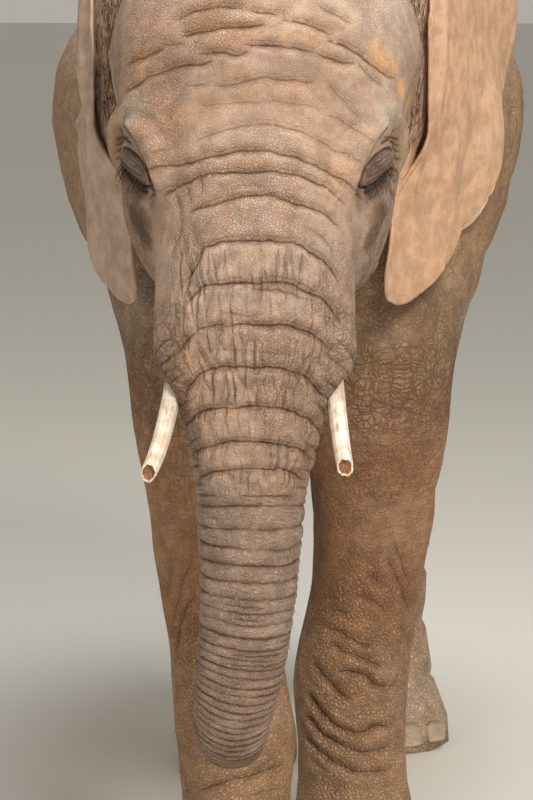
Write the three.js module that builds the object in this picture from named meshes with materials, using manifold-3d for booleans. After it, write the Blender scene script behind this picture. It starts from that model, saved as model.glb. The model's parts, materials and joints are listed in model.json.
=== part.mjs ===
// A young African elephant, life size, standing in mid-stride with its head low, its ears laid
// back and the end of its trunk curled behind. Millimetres, +Z up. The animal faces -Y and its
// left side is +X. The origin is on the floor, under the middle of its bounding box.
//
// The flesh is one smooth field made of blended columns and blobs. It is meshed a region at a
// time and parted with thin cuts. Trunk, ears, tusks and tail are swept sections.
import * as THREE from "three";
import { mergeVertices } from "three/addons/utils/BufferGeometryUtils.js";
import Module from "manifold-3d";

const wasm = await Module();
wasm.setup();

// ---------- driving dimensions ----------
const SHOULDER_HEIGHT = 2100;
const BARREL_HALF = 546; // half the widest part of the barrel
const HEAD_HALF = 297; // half the width across the temples
const EYE = { x: 219, y: -658, z: 1631, radius: 19.5 };
const WRIST_HALF = 125; // half the width of a foreleg at the wrist
const FORE_STANCE = { left: { foot: 190, wrist: 160 }, right: { foot: -200, wrist: -165 } };
const HIND_STANCE = { left: 1480, right: 1250 };
const HEAD_SHIFT = -52; // the neck carries the head this far to the animal's right,
const BARREL_SHIFT = -26; // and the barrel and the haunches swing this far the same way
const TUSK_OUT = 214; // length of tusk that shows
const GAP = 0.3; // space kept between touching pieces
const NEEDLE = 0.04; // faces thinner than this are closed up

// Grid sizes of the meshed regions
const CELL = { head: 43, eye: 16, neck: 76, torso: 104, leg: 74, foot: 64 };

// ---------- numbers along a limb ----------
const clamp = (v, low, high) => Math.min(high, Math.max(low, v));

// Smooth value of one size at `t`, along landmarks that are sorted by `at`.
function sizeAt(marks, key, t) {
  let i = 0;
  while (i < marks.length - 2 && t > marks[i + 1].at) i += 1;
  const a = marks[i];
  const b = marks[i + 1];
  const before = marks[Math.max(i - 1, 0)];
  const after = marks[Math.min(i + 2, marks.length - 1)];
  const span = b.at - a.at;
  const s = clamp((t - a.at) / span, 0, 1);
  const slopeA = ((b[key] - before[key]) / (b.at - before.at)) * span;
  const slopeB = ((after[key] - a[key]) / (after.at - a.at)) * span;
  const s2 = s * s;
  const s3 = s2 * s;
  return (
    (2 * s3 - 3 * s2 + 1) * a[key] + (s3 - 2 * s2 + s) * slopeA +
    (3 * s2 - 2 * s3) * b[key] + (s3 - s2) * slopeB
  );
}

// ---------- fields: negative inside, in millimetres ----------
const smoothMin = (a, b, reach) => {
  const h = Math.max(reach - Math.abs(a - b), 0) / reach;
  return Math.min(a, b) - (h * h * reach) / 4;
};
const joined = (reach, ...fields) => (x, y, z) =>
  fields.reduce((d, f) => smoothMin(d, f(x, y, z), reach), 1e5);
const hollowed = (reach, field, cutter) => (x, y, z) =>
  -smoothMin(-field(x, y, z), cutter(x, y, z), reach);
const mirrored = (field) => (x, y, z) => field(Math.abs(x), y, z);
const shifted = (field, dx) => (x, y, z) => field(x - dx, y, z);

function blob(cx, cy, cz, rx, ry, rz) {
  return (x, y, z) => {
    const u = (x - cx) / rx;
    const v = (y - cy) / ry;
    const w = (z - cz) / rz;
    const near = Math.hypot(u, v, w);
    if (near < 1e-6) return -Math.min(rx, ry, rz);
    return (near * (near - 1)) / Math.hypot(u / rx, v / ry, w / rz);
  };
}

// A limb whose sections lie across one axis. Each landmark has its place along that axis (at),
// its centre (x and cross) and its half sizes (wide and deep, and low where the lower half's
// depth is its own).
function column(axis, marks, power = 2) {
  const first = marks[0].at;
  const last = marks[marks.length - 1].at;
  return (x, y, z) => {
    const [along, across] = axis === "z" ? [z, y] : [y, z];
    const t = clamp(along, first, last);
    const u = x - sizeAt(marks, "x", t);
    const v = across - sizeAt(marks, "cross", t);
    const wide = sizeAt(marks, "wide", t);
    const deep = sizeAt(marks, v < 0 && "low" in marks[0] ? "low" : "deep", t);
    const near = (Math.abs(u / wide) ** power + Math.abs(v / deep) ** power) ** (1 / power);
    const flat = near < 1e-3 ? -Math.min(wide, deep) : Math.hypot(u, v) * (1 - 1 / near);
    const past = Math.abs(along - t);
    return past > 0 ? Math.hypot(Math.max(flat, 0), past) + Math.min(flat, 0) * 0.2 : flat;
  };
}

// ---------- torso and neck ----------
const back = (drop) => SHOULDER_HEIGHT - drop;
// top and belly are the outline's heights; half is the half width at the widest level
function trunkMark(at, top, belly, widest, half) {
  const x = BARREL_SHIFT * THREE.MathUtils.smoothstep(at, 0, 1000);
  return { at, x, cross: widest, wide: half, deep: top - widest, low: widest - belly };
}
const TORSO = [
  trunkMark(-250, back(190), 1340, 1600, 235),
  trunkMark(-80, back(70), 1170, 1590, 305),
  trunkMark(140, back(0), 1050, 1590, 392),
  trunkMark(480, back(35), 1030, 1620, 482),
  trunkMark(850, back(75), 985, 1650, BARREL_HALF - 3),
  trunkMark(1180, back(45), 985, 1640, BARREL_HALF),
  trunkMark(1450, back(25), 1060, 1600, 485),
  trunkMark(1680, back(110), 1160, 1560, 400),
  trunkMark(1850, back(290), 1260, 1500, 250),
];
const torso = column("y", TORSO, 1.94);
const shoulderBlade = mirrored(blob(278, 110, 1575, 150, 235, 370));
const haunch = shifted(mirrored(blob(272, 1400, 1420, 178, 330, 430)), BARREL_SHIFT);
const NECK = [
  { at: -520, x: 0, cross: 1770, wide: 215, deep: 235 },
  { at: -360, x: 0, cross: 1725, wide: 235, deep: 290 },
  { at: -200, x: 0, cross: 1675, wide: 255, deep: 335 },
  { at: 0, x: 0, cross: 1615, wide: 310, deep: 410 },
];
for (const mark of NECK) mark.x = HEAD_SHIFT * clamp(-mark.at / 400, 0, 1);
const neck = column("y", NECK);

// ---------- legs ----------
const FORELEG = [
  { at: -60, wide: 160, deep: 172 },
  { at: 45, wide: 166, deep: 180 },
  { at: 165, wide: 128, deep: 136 },
  { at: 290, wide: 115, deep: 122 },
  { at: 465, wide: WRIST_HALF, deep: 138 },
  { at: 660, wide: 118, deep: 132 },
  { at: 880, wide: 138, deep: 172 },
  { at: 1080, wide: 158, deep: 240 },
  { at: 1340, wide: 165, deep: 285 },
];
function foreleg(side, stance, wristDrop, foot, wrist) {
  const places = [
    { at: 0, x: foot, cross: stance.foot },
    { at: 250, x: foot + (wrist - foot) * 0.4, cross: (stance.foot + stance.wrist) / 2 },
    { at: 465 - wristDrop, x: wrist, cross: stance.wrist },
    { at: 760, x: side > 0 ? 174 : -160, cross: stance.wrist * 0.55 + 25 },
    { at: 1080, x: side > 0 ? 180 : -182, cross: 50 },
    { at: 1340, x: side * 192, cross: 25 },
  ];
  const marks = FORELEG.map(({ at, wide, deep }) => {
    const lowered = at > 200 && at < 700 ? at - wristDrop : at;
    const x = sizeAt(places, "x", clamp(lowered, 0, 1340));
    const cross = sizeAt(places, "cross", clamp(lowered, 0, 1340));
    return { at: lowered, x, cross, wide, deep };
  });
  return column("z", marks, 2.1);
}
const HINDLEG = [
  { at: -60, wide: 142, deep: 168, fore: 0 },
  { at: 45, wide: 148, deep: 174, fore: 0 },
  { at: 165, wide: 115, deep: 135, fore: 10 },
  { at: 300, wide: 98, deep: 118, fore: 18 },
  { at: 420, wide: 101, deep: 132, fore: 22 },
  { at: 620, wide: 116, deep: 150, fore: -10 },
  { at: 830, wide: 138, deep: 200, fore: -45 },
  { at: 1040, wide: 162, deep: 262, fore: -50 },
  { at: 1300, wide: 188, deep: 330, fore: 10 },
];
function hindleg(side, footY, foot, ankle) {
  const marks = HINDLEG.map(({ at, wide, deep, fore }) => {
    const up = clamp(at / 1300, 0, 1);
    const low = clamp(at / 420, 0, 1);
    const hip = side * 244 + BARREL_SHIFT;
    const x = at < 420 ? foot + (ankle - foot) * low : ankle + (hip - ankle) * ((at - 420) / 880);
    return { at, x, cross: footY + (1400 - footY) * up ** 1.3 + fore, wide, deep };
  });
  return column("z", marks, 2.1);
}
const LEGS = {
  leg_front_left: {
    field: foreleg(1, FORE_STANCE.left, 0, 134, 128), side: 1, hind: false,
    sole: [134, FORE_STANCE.left.foot],
  },
  leg_front_right: {
    field: foreleg(-1, FORE_STANCE.right, 40, -103, -112), side: -1, hind: false,
    sole: [-103, FORE_STANCE.right.foot],
  },
  leg_hind_left: {
    field: hindleg(1, HIND_STANCE.left, 226, 212), side: 1, hind: true,
    sole: [226, HIND_STANCE.left],
  },
  leg_hind_right: {
    field: hindleg(-1, HIND_STANCE.right, -158, -118), side: -1, hind: true,
    sole: [-158, HIND_STANCE.right],
  },
};

// ---------- head, in its own frame: x = 0 is the middle of the face ----------
// Trunk centreline, with half sizes across and front to back
const TRUNK = [
  { x: 0, y: -600, z: 1760, wide: 215, deep: 150 },
  { x: 0, y: -665, z: 1620, wide: 184, deep: 165 },
  { x: 0, y: -728, z: 1460, wide: 177, deep: 168 },
  { x: 0, y: -775, z: 1320, wide: 170, deep: 155 },
  { x: -3, y: -800, z: 1180, wide: 137, deep: 130 },
  { x: -7, y: -808, z: 1020, wide: 106, deep: 107 },
  { x: -10, y: -806, z: 870, wide: 94, deep: 95 },
  { x: -20, y: -798, z: 740, wide: 87, deep: 87 },
  { x: -36, y: -775, z: 628, wide: 81, deep: 80 },
  { x: -48, y: -720, z: 545, wide: 73, deep: 71 },
  { x: -48, y: -645, z: 524, wide: 65, deep: 62 },
  { x: -44, y: -574, z: 551, wide: 57, deep: 53 },
  { x: -38, y: -524, z: 610, wide: 50, deep: 47 },
  { x: -34, y: -500, z: 675, wide: 46, deep: 43 },
];
const trunkLine = new THREE.CatmullRomCurve3(
  TRUNK.map(({ x, y, z }) => new THREE.Vector3(x, y, z)), false, "centripetal");
const TRUNK_STEPS = 120;
// Stations along the trunk: centre, side and front directions, half sizes and length so far
const trunkStations = [];
for (let i = 0; i <= TRUNK_STEPS; i += 1) {
  const share = i / TRUNK_STEPS;
  const centre = trunkLine.getPoint(share);
  const along = trunkLine.getTangent(share);
  const across = new THREE.Vector3(1, 0, 0).addScaledVector(along, -along.x).normalize();
  const front = new THREE.Vector3().crossVectors(across, along).normalize();
  const marks = TRUNK.map((mark, n) => ({ ...mark, at: n }));
  const wide = sizeAt(marks, "wide", share * (TRUNK.length - 1));
  const deep = sizeAt(marks, "deep", share * (TRUNK.length - 1));
  const last = trunkStations[i - 1];
  const length = last ? last.length + centre.distanceTo(last.centre) : 0;
  trunkStations.push({ centre, along, across, front, wide, deep, length });
}
function trunk(x, y, z) {
  const p = new THREE.Vector3(x, y, z);
  let best = trunkStations[0];
  let least = Infinity;
  for (const station of trunkStations) {
    const d = p.distanceToSquared(station.centre);
    if (d < least) [best, least] = [station, d];
  }
  const q = p.sub(best.centre);
  const u = q.dot(best.across);
  const v = q.dot(best.front);
  const near = Math.hypot(u / best.wide, v / best.deep);
  const flat = near < 1e-3 ? -best.deep : Math.hypot(u, v) * (1 - 1 / near);
  const past = Math.abs(q.dot(best.along)) - 12;
  return past > 0 ? Math.max(flat, past) : flat;
}

// A round bar between two points, thicker or thinner at its far end
function bar(a, b, ra, rb = ra) {
  const d = b.map((v, m) => v - a[m]);
  const dd = d.reduce((sum, v) => sum + v * v, 0);
  return (x, y, z) => {
    const q = [x - a[0], y - a[1], z - a[2]];
    const t = clamp((q[0] * d[0] + q[1] * d[1] + q[2] * d[2]) / dd, 0, 1);
    return Math.hypot(q[0] - t * d[0], q[1] - t * d[1], q[2] - t * d[2]) - ra - (rb - ra) * t;
  };
}
const cranium = blob(0, -430, 1795, HEAD_HALF - 10, 300, 290);
const forehead = blob(0, -585, 1800, 228, 185, 215);
const temples = mirrored(blob(HEAD_HALF - 98, -470, 1815, 92, 170, 180));
const browMass = mirrored(blob(165, -622, 1712, 92, 100, 74));
const cheekbones = mirrored(blob(186, -535, 1580, 80, 185, 115));
const jowls = mirrored(blob(136, -520, 1470, 96, 185, 110));
const sheaths = mirrored(column("z", [
  { at: 1232, x: 143, cross: -800, wide: 36, deep: 52 },
  { at: 1280, x: 138, cross: -790, wide: 51, deep: 66 },
  { at: 1400, x: 118, cross: -745, wide: 62, deep: 78 },
  { at: 1540, x: 105, cross: -690, wide: 66, deep: 80 },
]));
const throat = column("z", [
  { at: 1142, x: 0, cross: -622, wide: 16, deep: 20 },
  { at: 1172, x: 0, cross: -616, wide: 40, deep: 42 },
  { at: 1230, x: 0, cross: -602, wide: 64, deep: 68 },
  { at: 1330, x: 0, cross: -560, wide: 104, deep: 118 },
  { at: 1480, x: 0, cross: -500, wide: 150, deep: 170 },
]);
const templePit = mirrored(blob(326, -515, 1705, 42, 95, 85));
const eyeHollow = mirrored(blob(EYE.x + 34, EYE.y - 6, EYE.z - 2, 36, 52, 44));
// The brow hangs over the eye along a slanting edge that runs down to the root of the trunk.
const browEdge = mirrored(bar([EYE.x + 16, EYE.y + 22, EYE.z + 66],
  [EYE.x - 34, EYE.y - 66, EYE.z - 22], 20, 16));
const lidMound = mirrored(blob(EYE.x, EYE.y, EYE.z, EYE.radius + 8, EYE.radius + 12, EYE.radius + 8));
const dome = shifted(joined(70, cranium, forehead, temples), 12);
const skull = joined(70, dome, browMass, cheekbones, jowls);
const face = joined(28, joined(45, skull, throat), joined(45, trunk, sheaths));
const hollowFace = hollowed(40, hollowed(45, face, templePit), eyeHollow);
const headLocal = joined(16, hollowFace, browEdge, lidMound);
const head = shifted(headLocal, HEAD_SHIFT);

// ---------- the whole body as fields ----------
const barrel = joined(80, torso, shoulderBlade, haunch);
const body = joined(110, barrel, joined(90, neck, head));
const withLeg = (leg) => joined(90, barrel, leg.field);
const allLegs = joined(20, ...Object.values(LEGS).map((leg) => leg.field));
const bodyAndLegs = joined(90, body, allLegs);

// ---------- meshing a field on a grid ----------
const CORNERS = Array.from({ length: 8 }, (_, c) => [c & 1, (c >> 1) & 1, (c >> 2) & 1]);
const EDGES = CORNERS.flatMap((_, a) => [1, 2, 4].filter((bit) => !(a & bit)).map((bit) => [a, a | bit]));
const EDGE_INDEX = new Map(EDGES.map(([a, b], n) => [a * 8 + b, n]));
const FACES = [0, 1, 2].flatMap((axis) => [0, 1].map((side) =>
  EDGES.map((_, n) => n).filter((n) => EDGES[n].every((c) => CORNERS[c][axis] === side))));

// The crossed edges of one cell, in groups that belong to the same piece of surface.
function sheets(inside) {
  const group = EDGES.map(([a, b], n) => (inside[a] === inside[b] ? -1 : n));
  const unite = (a, b) => {
    const [keep, drop] = [group[a], group[b]];
    group.forEach((g, n) => { if (g === drop) group[n] = keep; });
  };
  for (const face of FACES) {
    const crossed = face.filter((n) => group[n] >= 0);
    if (crossed.length === 2) unite(...crossed);
    if (crossed.length < 4) continue;
    for (let c = 0; c < 8; c += 1) {
      const round = crossed.filter((n) => inside[c] && EDGES[n].includes(c));
      if (round.length === 2) unite(...round);
    }
  }
  return group;
}

// One vertex for each piece of surface in a cell, moved on to the surface, and a quad round each
// grid edge that the surface crosses. `box` is [low corner, high corner].
function meshed(field, box, cell, offset = 0) {
  const [low, high] = box;
  const [nx, ny, nz] = low.map((v, k) => Math.ceil((high[k] - v) / cell) + 3);
  const at = (k, i) => low[k] + (i - 1) * cell;
  const index = (i, j, k) => (k * ny + j) * nx + i;
  const values = new Float64Array(nx * ny * nz);
  for (let k = 0; k < nz; k += 1)
    for (let j = 0; j < ny; j += 1)
      for (let i = 0; i < nx; i += 1) {
        const edge = i === 0 || j === 0 || k === 0 || i === nx - 1 || j === ny - 1 || k === nz - 1;
        const value = field(at(0, i), at(1, j), at(2, k)) - offset;
        values[index(i, j, k)] = edge ? Math.max(value, cell / 2) : value;
      }
  const vertexOf = new Int32Array(values.length * 12).fill(-1);
  const points = [];
  for (let k = 0; k < nz - 1; k += 1)
    for (let j = 0; j < ny - 1; j += 1)
      for (let i = 0; i < nx - 1; i += 1) {
        const v = CORNERS.map(([a, b, c]) => values[index(i + a, j + b, k + c)]);
        const inside = v.map((d) => d <= 0);
        if (inside.every(Boolean) || !inside.some(Boolean)) continue;
        const group = sheets(inside);
        for (const name of new Set(group.filter((g) => g >= 0))) {
          const members = EDGES.map((_, n) => n).filter((n) => group[n] === name);
          const here = [0, 1, 2].map((m) => at(m, [i, j, k][m]) + (cell / members.length) *
            members.reduce((sum, n) => {
              const [a, b] = EDGES[n];
              const s = v[a] / (v[a] - v[b]);
              return sum + CORNERS[a][m] + s * (CORNERS[b][m] - CORNERS[a][m]);
            }, 0));
          for (const n of members) vertexOf[index(i, j, k) * 12 + n] = points.length;
          points.push(onSurface(field, here, offset, cell));
        }
      }
  const triangles = [];
  const long = (p, q) => Math.hypot(...points[p].map((v, m) => v - points[q][m]));
  const quad = ([a, b, c, d], flip) => {
    const faces = long(a, c) < long(b, d) ? [[a, b, c], [a, c, d]] : [[b, c, d], [b, d, a]];
    for (const [p, q, r] of faces) triangles.push(...(flip ? [p, r, q] : [p, q, r]));
  };
  const turns = [[1, 1], [0, 1], [0, 0], [1, 0]];
  for (let k = 0; k < nz - 1; k += 1)
    for (let j = 0; j < ny - 1; j += 1)
      for (let i = 0; i < nx - 1; i += 1)
        for (let axis = 0; axis < 3; axis += 1) {
          const inside = values[index(i, j, k)] <= 0;
          const ahead = [i, j, k].map((v, m) => v + (m === axis ? 1 : 0));
          if (inside === values[index(...ahead)] <= 0) continue;
          const [second, third] = [(axis + 1) % 3, (axis + 2) % 3];
          const ring = turns.map(([a, b]) => {
            const cellAt = [i, j, k];
            cellAt[second] -= a;
            cellAt[third] -= b;
            const start = (a << second) | (b << third);
            return vertexOf[index(...cellAt) * 12 + EDGE_INDEX.get(start * 8 + (start | (1 << axis)))];
          });
          quad(ring, !inside);
        }
  return solidOf(geometryOf(points.flat(), triangles));
}

// The point moved along the field's slope on to its surface, by at most a third of a cell.
function onSurface(field, start, offset, cell) {
  const probe = 2;
  let p = start;
  for (let turn = 0; turn < 2; turn += 1) {
    const value = field(...p) - offset;
    const slope = p.map((v, m) => {
      const ahead = p.slice();
      ahead[m] = v + probe;
      return (field(...ahead) - offset - value) / probe;
    });
    const steep = Math.max(slope.reduce((s, v) => s + v * v, 0), 0.2);
    p = p.map((v, m) => v - clamp((value * slope[m]) / steep, -cell / 4, cell / 4));
  }
  return p.map((v, m) => clamp(v, start[m] - cell / 3, start[m] + cell / 3));
}

function geometryOf(numbers, triangles) {
  const geometry = new THREE.BufferGeometry();
  geometry.setAttribute("position", new THREE.BufferAttribute(new Float32Array(numbers), 3));
  geometry.setIndex(triangles);
  return geometry;
}

// ---------- solids ----------
function solidOf(geometry) {
  const bare = geometry.clone();
  bare.deleteAttribute("normal");
  bare.deleteAttribute("uv");
  const merged = mergeVertices(bare, 1e-3);
  const solid = new wasm.Manifold(new wasm.Mesh({
    numProp: 3,
    vertProperties: merged.attributes.position.array,
    triVerts: new Uint32Array(merged.index.array),
  }));
  return solid;
}
// A solid keeps only its largest closed surface: loose scraps and sealed hollows go, and so do
// the needle faces that a cut leaves.
function largest(solid) {
  const { numProp, numVert, vertProperties, triVerts } = solid.simplify(NEEDLE).getMesh();
  const group = Int32Array.from({ length: numVert }, (_, i) => i);
  const top = (i) => {
    while (group[i] !== i) i = group[i] = group[group[i]];
    return i;
  };
  for (let t = 0; t < triVerts.length; t += 3) {
    group[top(triVerts[t])] = top(triVerts[t + 1]);
    group[top(triVerts[t + 2])] = top(triVerts[t + 1]);
  }
  const corner = (i) => new THREE.Vector3(...vertProperties.subarray(i * numProp, i * numProp + 3));
  const volumes = new Map();
  for (let t = 0; t < triVerts.length; t += 3) {
    const [a, b, c] = [0, 1, 2].map((n) => corner(triVerts[t + n]));
    const name = top(triVerts[t]);
    volumes.set(name, (volumes.get(name) ?? 0) + a.dot(b.cross(c)) / 6);
  }
  const keep = [...volumes].sort((a, b) => b[1] - a[1])[0][0];
  const numbers = [];
  const place = new Map();
  const triangles = [];
  triVerts.forEach((i) => {
    if (top(i) !== keep) return;
    if (!place.has(i)) {
      place.set(i, place.size);
      numbers.push(...corner(i).toArray());
    }
    triangles.push(place.get(i));
  });
  return { numbers, triangles, volume: volumes.get(keep) };
}
const fused = (solids) => solids.reduce((whole, next) => whole.add(next));

const ball = (x, y, z, r, across = 20, rows = 12) =>
  solidOf(new THREE.SphereGeometry(r, across, rows).translate(x, y, z));

// A closed sweep through rings of points, each ring a list of Vector3, with a cap at each end.
function swept(rings) {
  const sides = rings[0].length;
  const numbers = rings.flat().flatMap((p) => p.toArray());
  const triangles = [];
  for (let j = 0; j < rings.length - 1; j += 1)
    for (let i = 0; i < sides; i += 1) {
      const a = j * sides + i;
      const b = j * sides + ((i + 1) % sides);
      triangles.push(a, b, b + sides, a, b + sides, a + sides);
    }
  const capped = (ring, flip) => {
    const middle = numbers.length / 3;
    const centre = rings[ring].reduce((s, p) => s.add(p), new THREE.Vector3());
    numbers.push(...centre.divideScalar(sides).toArray());
    for (let i = 0; i < sides; i += 1) {
      const a = ring * sides + i;
      const b = ring * sides + ((i + 1) % sides);
      triangles.push(...(flip ? [middle, b, a] : [middle, a, b]));
    }
  };
  capped(0, true);
  capped(rings.length - 1, false);
  return facingOut(numbers, triangles);
}
// A solid whose faces are turned outwards, whichever way its triangles ran.
function facingOut(numbers, triangles) {
  const solid = solidOf(geometryOf(numbers, triangles));
  return solid.volume() > 0 ? solid : solidOf(geometryOf(numbers, triangles.reverse()));
}

// A block that holds a polygon of [y, z] or [x, z] points, run from `from` to `to` across it.
function prism(points, from, to, plane = "yz") {
  const shape = new THREE.Shape(points.map(([a, b]) => new THREE.Vector2(a, b)));
  const block = new THREE.ExtrudeGeometry(shape, { depth: to - from, bevelEnabled: false });
  block.translate(0, 0, plane === "yz" ? from : -to);
  const turn = plane === "yz"
    ? new THREE.Matrix4().set(0, 0, 1, 0, 1, 0, 0, 0, 0, 1, 0, 0, 0, 0, 0, 1)
    : new THREE.Matrix4().set(1, 0, 0, 0, 0, 0, -1, 0, 0, 1, 0, 0, 0, 0, 0, 1);
  block.applyMatrix4(turn);
  return solidOf(block);
}

// Keeps the part of a solid on the side that `normal` points to, half a gap clear of the plane.
function trimmed(solid, normal, point) {
  const n = new THREE.Vector3(...normal).normalize();
  return solid.trimByPlane(n.toArray(), n.dot(new THREE.Vector3(...point)) + GAP / 2);
}
const opposite = (normal) => normal.map((v) => -v);

// ---------- nodes ----------
const root = new THREE.Group();
const HIDE = { color: 0x9b8270, roughness: 0.9, metalness: 0 };
const EAR_HIDE = { color: 0xb8977a, roughness: 0.9, metalness: 0 };
const IVORY = { color: 0xe3d3b8, roughness: 0.45, metalness: 0 };
const EYE_DARK = { color: 0x2a1a10, roughness: 0.12, metalness: 0 };
const BRISTLE = { color: 0x2b241f, roughness: 0.7, metalness: 0 };

function addNode(name, solid, finish) {
  const { numbers, triangles } = largest(solid);
  const geometry = geometryOf(numbers, triangles);
  geometry.computeVertexNormals();
  const mesh = new THREE.Mesh(geometry, new THREE.MeshStandardMaterial(finish));
  mesh.name = name;
  root.add(mesh);
}

// ---------- cuts between the regions ----------
const NECK_CUT = { normal: [0, 1, -0.12], point: [0, -310, 1700] };
const CHEST_CUT = { normal: [0, 1, -0.28], point: [0, -150, 1600] };

// A leg leaves the torso at a plane that climbs outwards from its inner side. Near the groin
// the block ends at a plane between the two legs of the pair.
function legBlock(leg, grow) {
  const inner = leg.hind ? 985 : 1030; // height of the cut on the animal's middle
  const slope = leg.hind ? 0.62 : 0.5;
  const middle = (leg.hind ? 20 : 8) - leg.side * grow;
  const [front, rear] = leg.hind ? [1020, 1900] : [-330, 455];
  const reach = leg.side * 800;
  const points = [
    [-leg.side * 300, -200],
    [-leg.side * 300, 700],
    [middle, 860],
    [middle, inner + grow],
    [reach, inner + slope * 800 + grow],
    [reach, -200],
  ];
  return prism(points, front - grow, rear + grow, "xz");
}

// ---------- torso ----------
let torsoSolid = meshed(bodyAndLegs, [[-620, -420, 940], [620, 1960, 2180]], CELL.torso);
for (const leg of Object.values(LEGS)) torsoSolid = torsoSolid.subtract(legBlock(leg, GAP / 2));
torsoSolid = trimmed(torsoSolid, CHEST_CUT.normal, CHEST_CUT.point);
torsoSolid = trimmed(torsoSolid, [0, 0, 1], [0, 0, 960]);

// ---------- neck ----------
let neckSolid = meshed(bodyAndLegs, [[-470, -480, 1000], [470, 200, 2200]], CELL.neck);
for (const leg of Object.values(LEGS)) neckSolid = neckSolid.subtract(legBlock(leg, GAP / 2));
neckSolid = trimmed(neckSolid, opposite(CHEST_CUT.normal), CHEST_CUT.point);
neckSolid = trimmed(neckSolid, NECK_CUT.normal, NECK_CUT.point);

// ---------- legs with toenails ----------
const WRIST_CUT = 480;
const ANKLE_CUT = 185;
function toenails(leg) {
  const [x, y] = leg.sole;
  const angles = leg.hind ? [-42, -14, 14, 42] : [-62, -31, 0, 31, 62];
  const middle = 46;
  return angles.map((degrees) => {
    const turn = THREE.MathUtils.degToRad(degrees);
    const towards = new THREE.Vector3(Math.sin(turn), -Math.cos(turn), 0);
    let reach = 120;
    while (leg.field(x + towards.x * reach, y + towards.y * reach, middle) < 0) reach += 1;
    const size = degrees === 0 || Math.abs(degrees) < 20 ? 1 : 0.86;
    const nail = new THREE.SphereGeometry(1, 8, 4).scale(35 * size, 12, 34 * size);
    nail.rotateX(-0.16).rotateZ(turn);
    nail.translate(x + towards.x * (reach - 2), y + towards.y * (reach - 2), middle);
    return solidOf(nail);
  });
}
for (const [name, leg] of Object.entries(LEGS)) {
  const [x, y] = leg.sole;
  const block = legBlock(leg, -GAP / 2);
  const inner = leg.side > 0 ? -40 : -420;
  const outer = leg.side > 0 ? 420 : 40;
  const [front, rear] = leg.hind ? [1000, 1780] : [-420, 480];
  let upper = meshed(withLeg(leg), [[inner - 60, front, 430], [outer + 140, rear, 1500]], CELL.leg);
  upper = trimmed(upper.intersect(block), [0, 0, 1], [0, 0, WRIST_CUT]);
  let lower = meshed(leg.field, [[x - 260, y - 300, 140], [x + 260, y + 300, 540]], CELL.leg);
  lower = trimmed(trimmed(lower, [0, 0, 1], [0, 0, ANKLE_CUT]), [0, 0, -1], [0, 0, WRIST_CUT]);
  let foot = meshed(leg.field, [[x - 240, y - 260, -40], [x + 240, y + 260, 230]], CELL.foot);
  foot = fused([foot, ...toenails(leg)]).trimByPlane([0, 0, 1], 0);
  foot = trimmed(foot, [0, 0, -1], [0, 0, ANKLE_CUT]);
  addNode(`${name}_upper`, upper, HIDE);
  addNode(`${name}_lower`, lower, HIDE);
  addNode(name.replace("leg", "foot"), foot, HIDE);
}
addNode("torso", torsoSolid, HIDE);
addNode("neck", neckSolid, HIDE);

// ---------- trunk: rings of wrinkles along the centreline ----------
const TRUNK_SIDES = 16;
const TRUNK_START = 1185; // height of the cut under the tusks
const RING_STEP = { top: 56, tip: 40 };
const trunkLength = trunkStations[TRUNK_STEPS].length;
const stationAt = (length) => {
  let i = 1;
  while (i < TRUNK_STEPS && trunkStations[i].length < length) i += 1;
  const a = trunkStations[i - 1];
  const b = trunkStations[i];
  const s = (length - a.length) / (b.length - a.length);
  const mix = (key) => a[key].clone().lerp(b[key], s);
  return {
    centre: mix("centre"), along: mix("along").normalize(),
    across: mix("across").normalize(), front: mix("front").normalize(),
    wide: a.wide + s * (b.wide - a.wide), deep: a.deep + s * (b.deep - a.deep),
  };
};
const cutStation = trunkStations.find((station) => station.centre.z < TRUNK_START);
const cutLength = cutStation.length;
function trunkRing(length, swell, flat = 0) {
  const { centre, across, front, wide, deep } = stationAt(length);
  const ring = [];
  for (let i = 0; i < TRUNK_SIDES; i += 1) {
    const turn = (2 * Math.PI * i) / TRUNK_SIDES;
    const behind = Math.max(-Math.cos(turn), 0);
    const depth = (deep + swell) * Math.cos(turn) * (1 - flat * behind);
    ring.push(centre.clone()
      .addScaledVector(across, (wide + swell) * Math.sin(turn))
      .addScaledVector(front, depth)
      .add(new THREE.Vector3(HEAD_SHIFT, 0, 0)));
  }
  return ring;
}
// Lengths of the crests of the rings, closer together towards the tip
const crests = [cutLength + RING_STEP.top * 0.5];
while (crests[crests.length - 1] < trunkLength - RING_STEP.tip) {
  const share = (crests[crests.length - 1] - cutLength) / (trunkLength - cutLength);
  crests.push(crests[crests.length - 1] + RING_STEP.top + (RING_STEP.tip - RING_STEP.top) * share);
}
const TRUNK_NODES = [
  { name: "trunk_upper", until: 0.3 },
  { name: "trunk_middle", until: 0.55 },
  { name: "trunk_lower", until: 0.78 },
  { name: "trunk_tip", until: 1 },
];
function trunkPiece(from, to) {
  const rings = [trunkRing(from, 0)];
  crests.forEach((crest, n) => {
    const next = crests[n + 1] ?? trunkLength;
    const valley = (crest + next) / 2;
    const high = 3.2 + 0.8 * Math.sin(n * 2.4);
    if (crest > from + 6 && crest < to - 6) rings.push(trunkRing(crest, high));
    if (valley > from + 6 && valley < to - 6) rings.push(trunkRing(valley, -4));
  });
  rings.push(trunkRing(to, 0));
  return swept(rings);
}
let from = cutLength;
for (const { name, until } of TRUNK_NODES) {
  const target = cutLength + (trunkLength - cutLength) * until;
  const to = until === 1 ? trunkLength : target;
  let piece = trunkPiece(from + GAP / 2, to - (until === 1 ? 0 : GAP / 2));
  if (until === 1) piece = withNostrils(piece);
  addNode(name, piece, HIDE);
  from = to;
}

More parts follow.
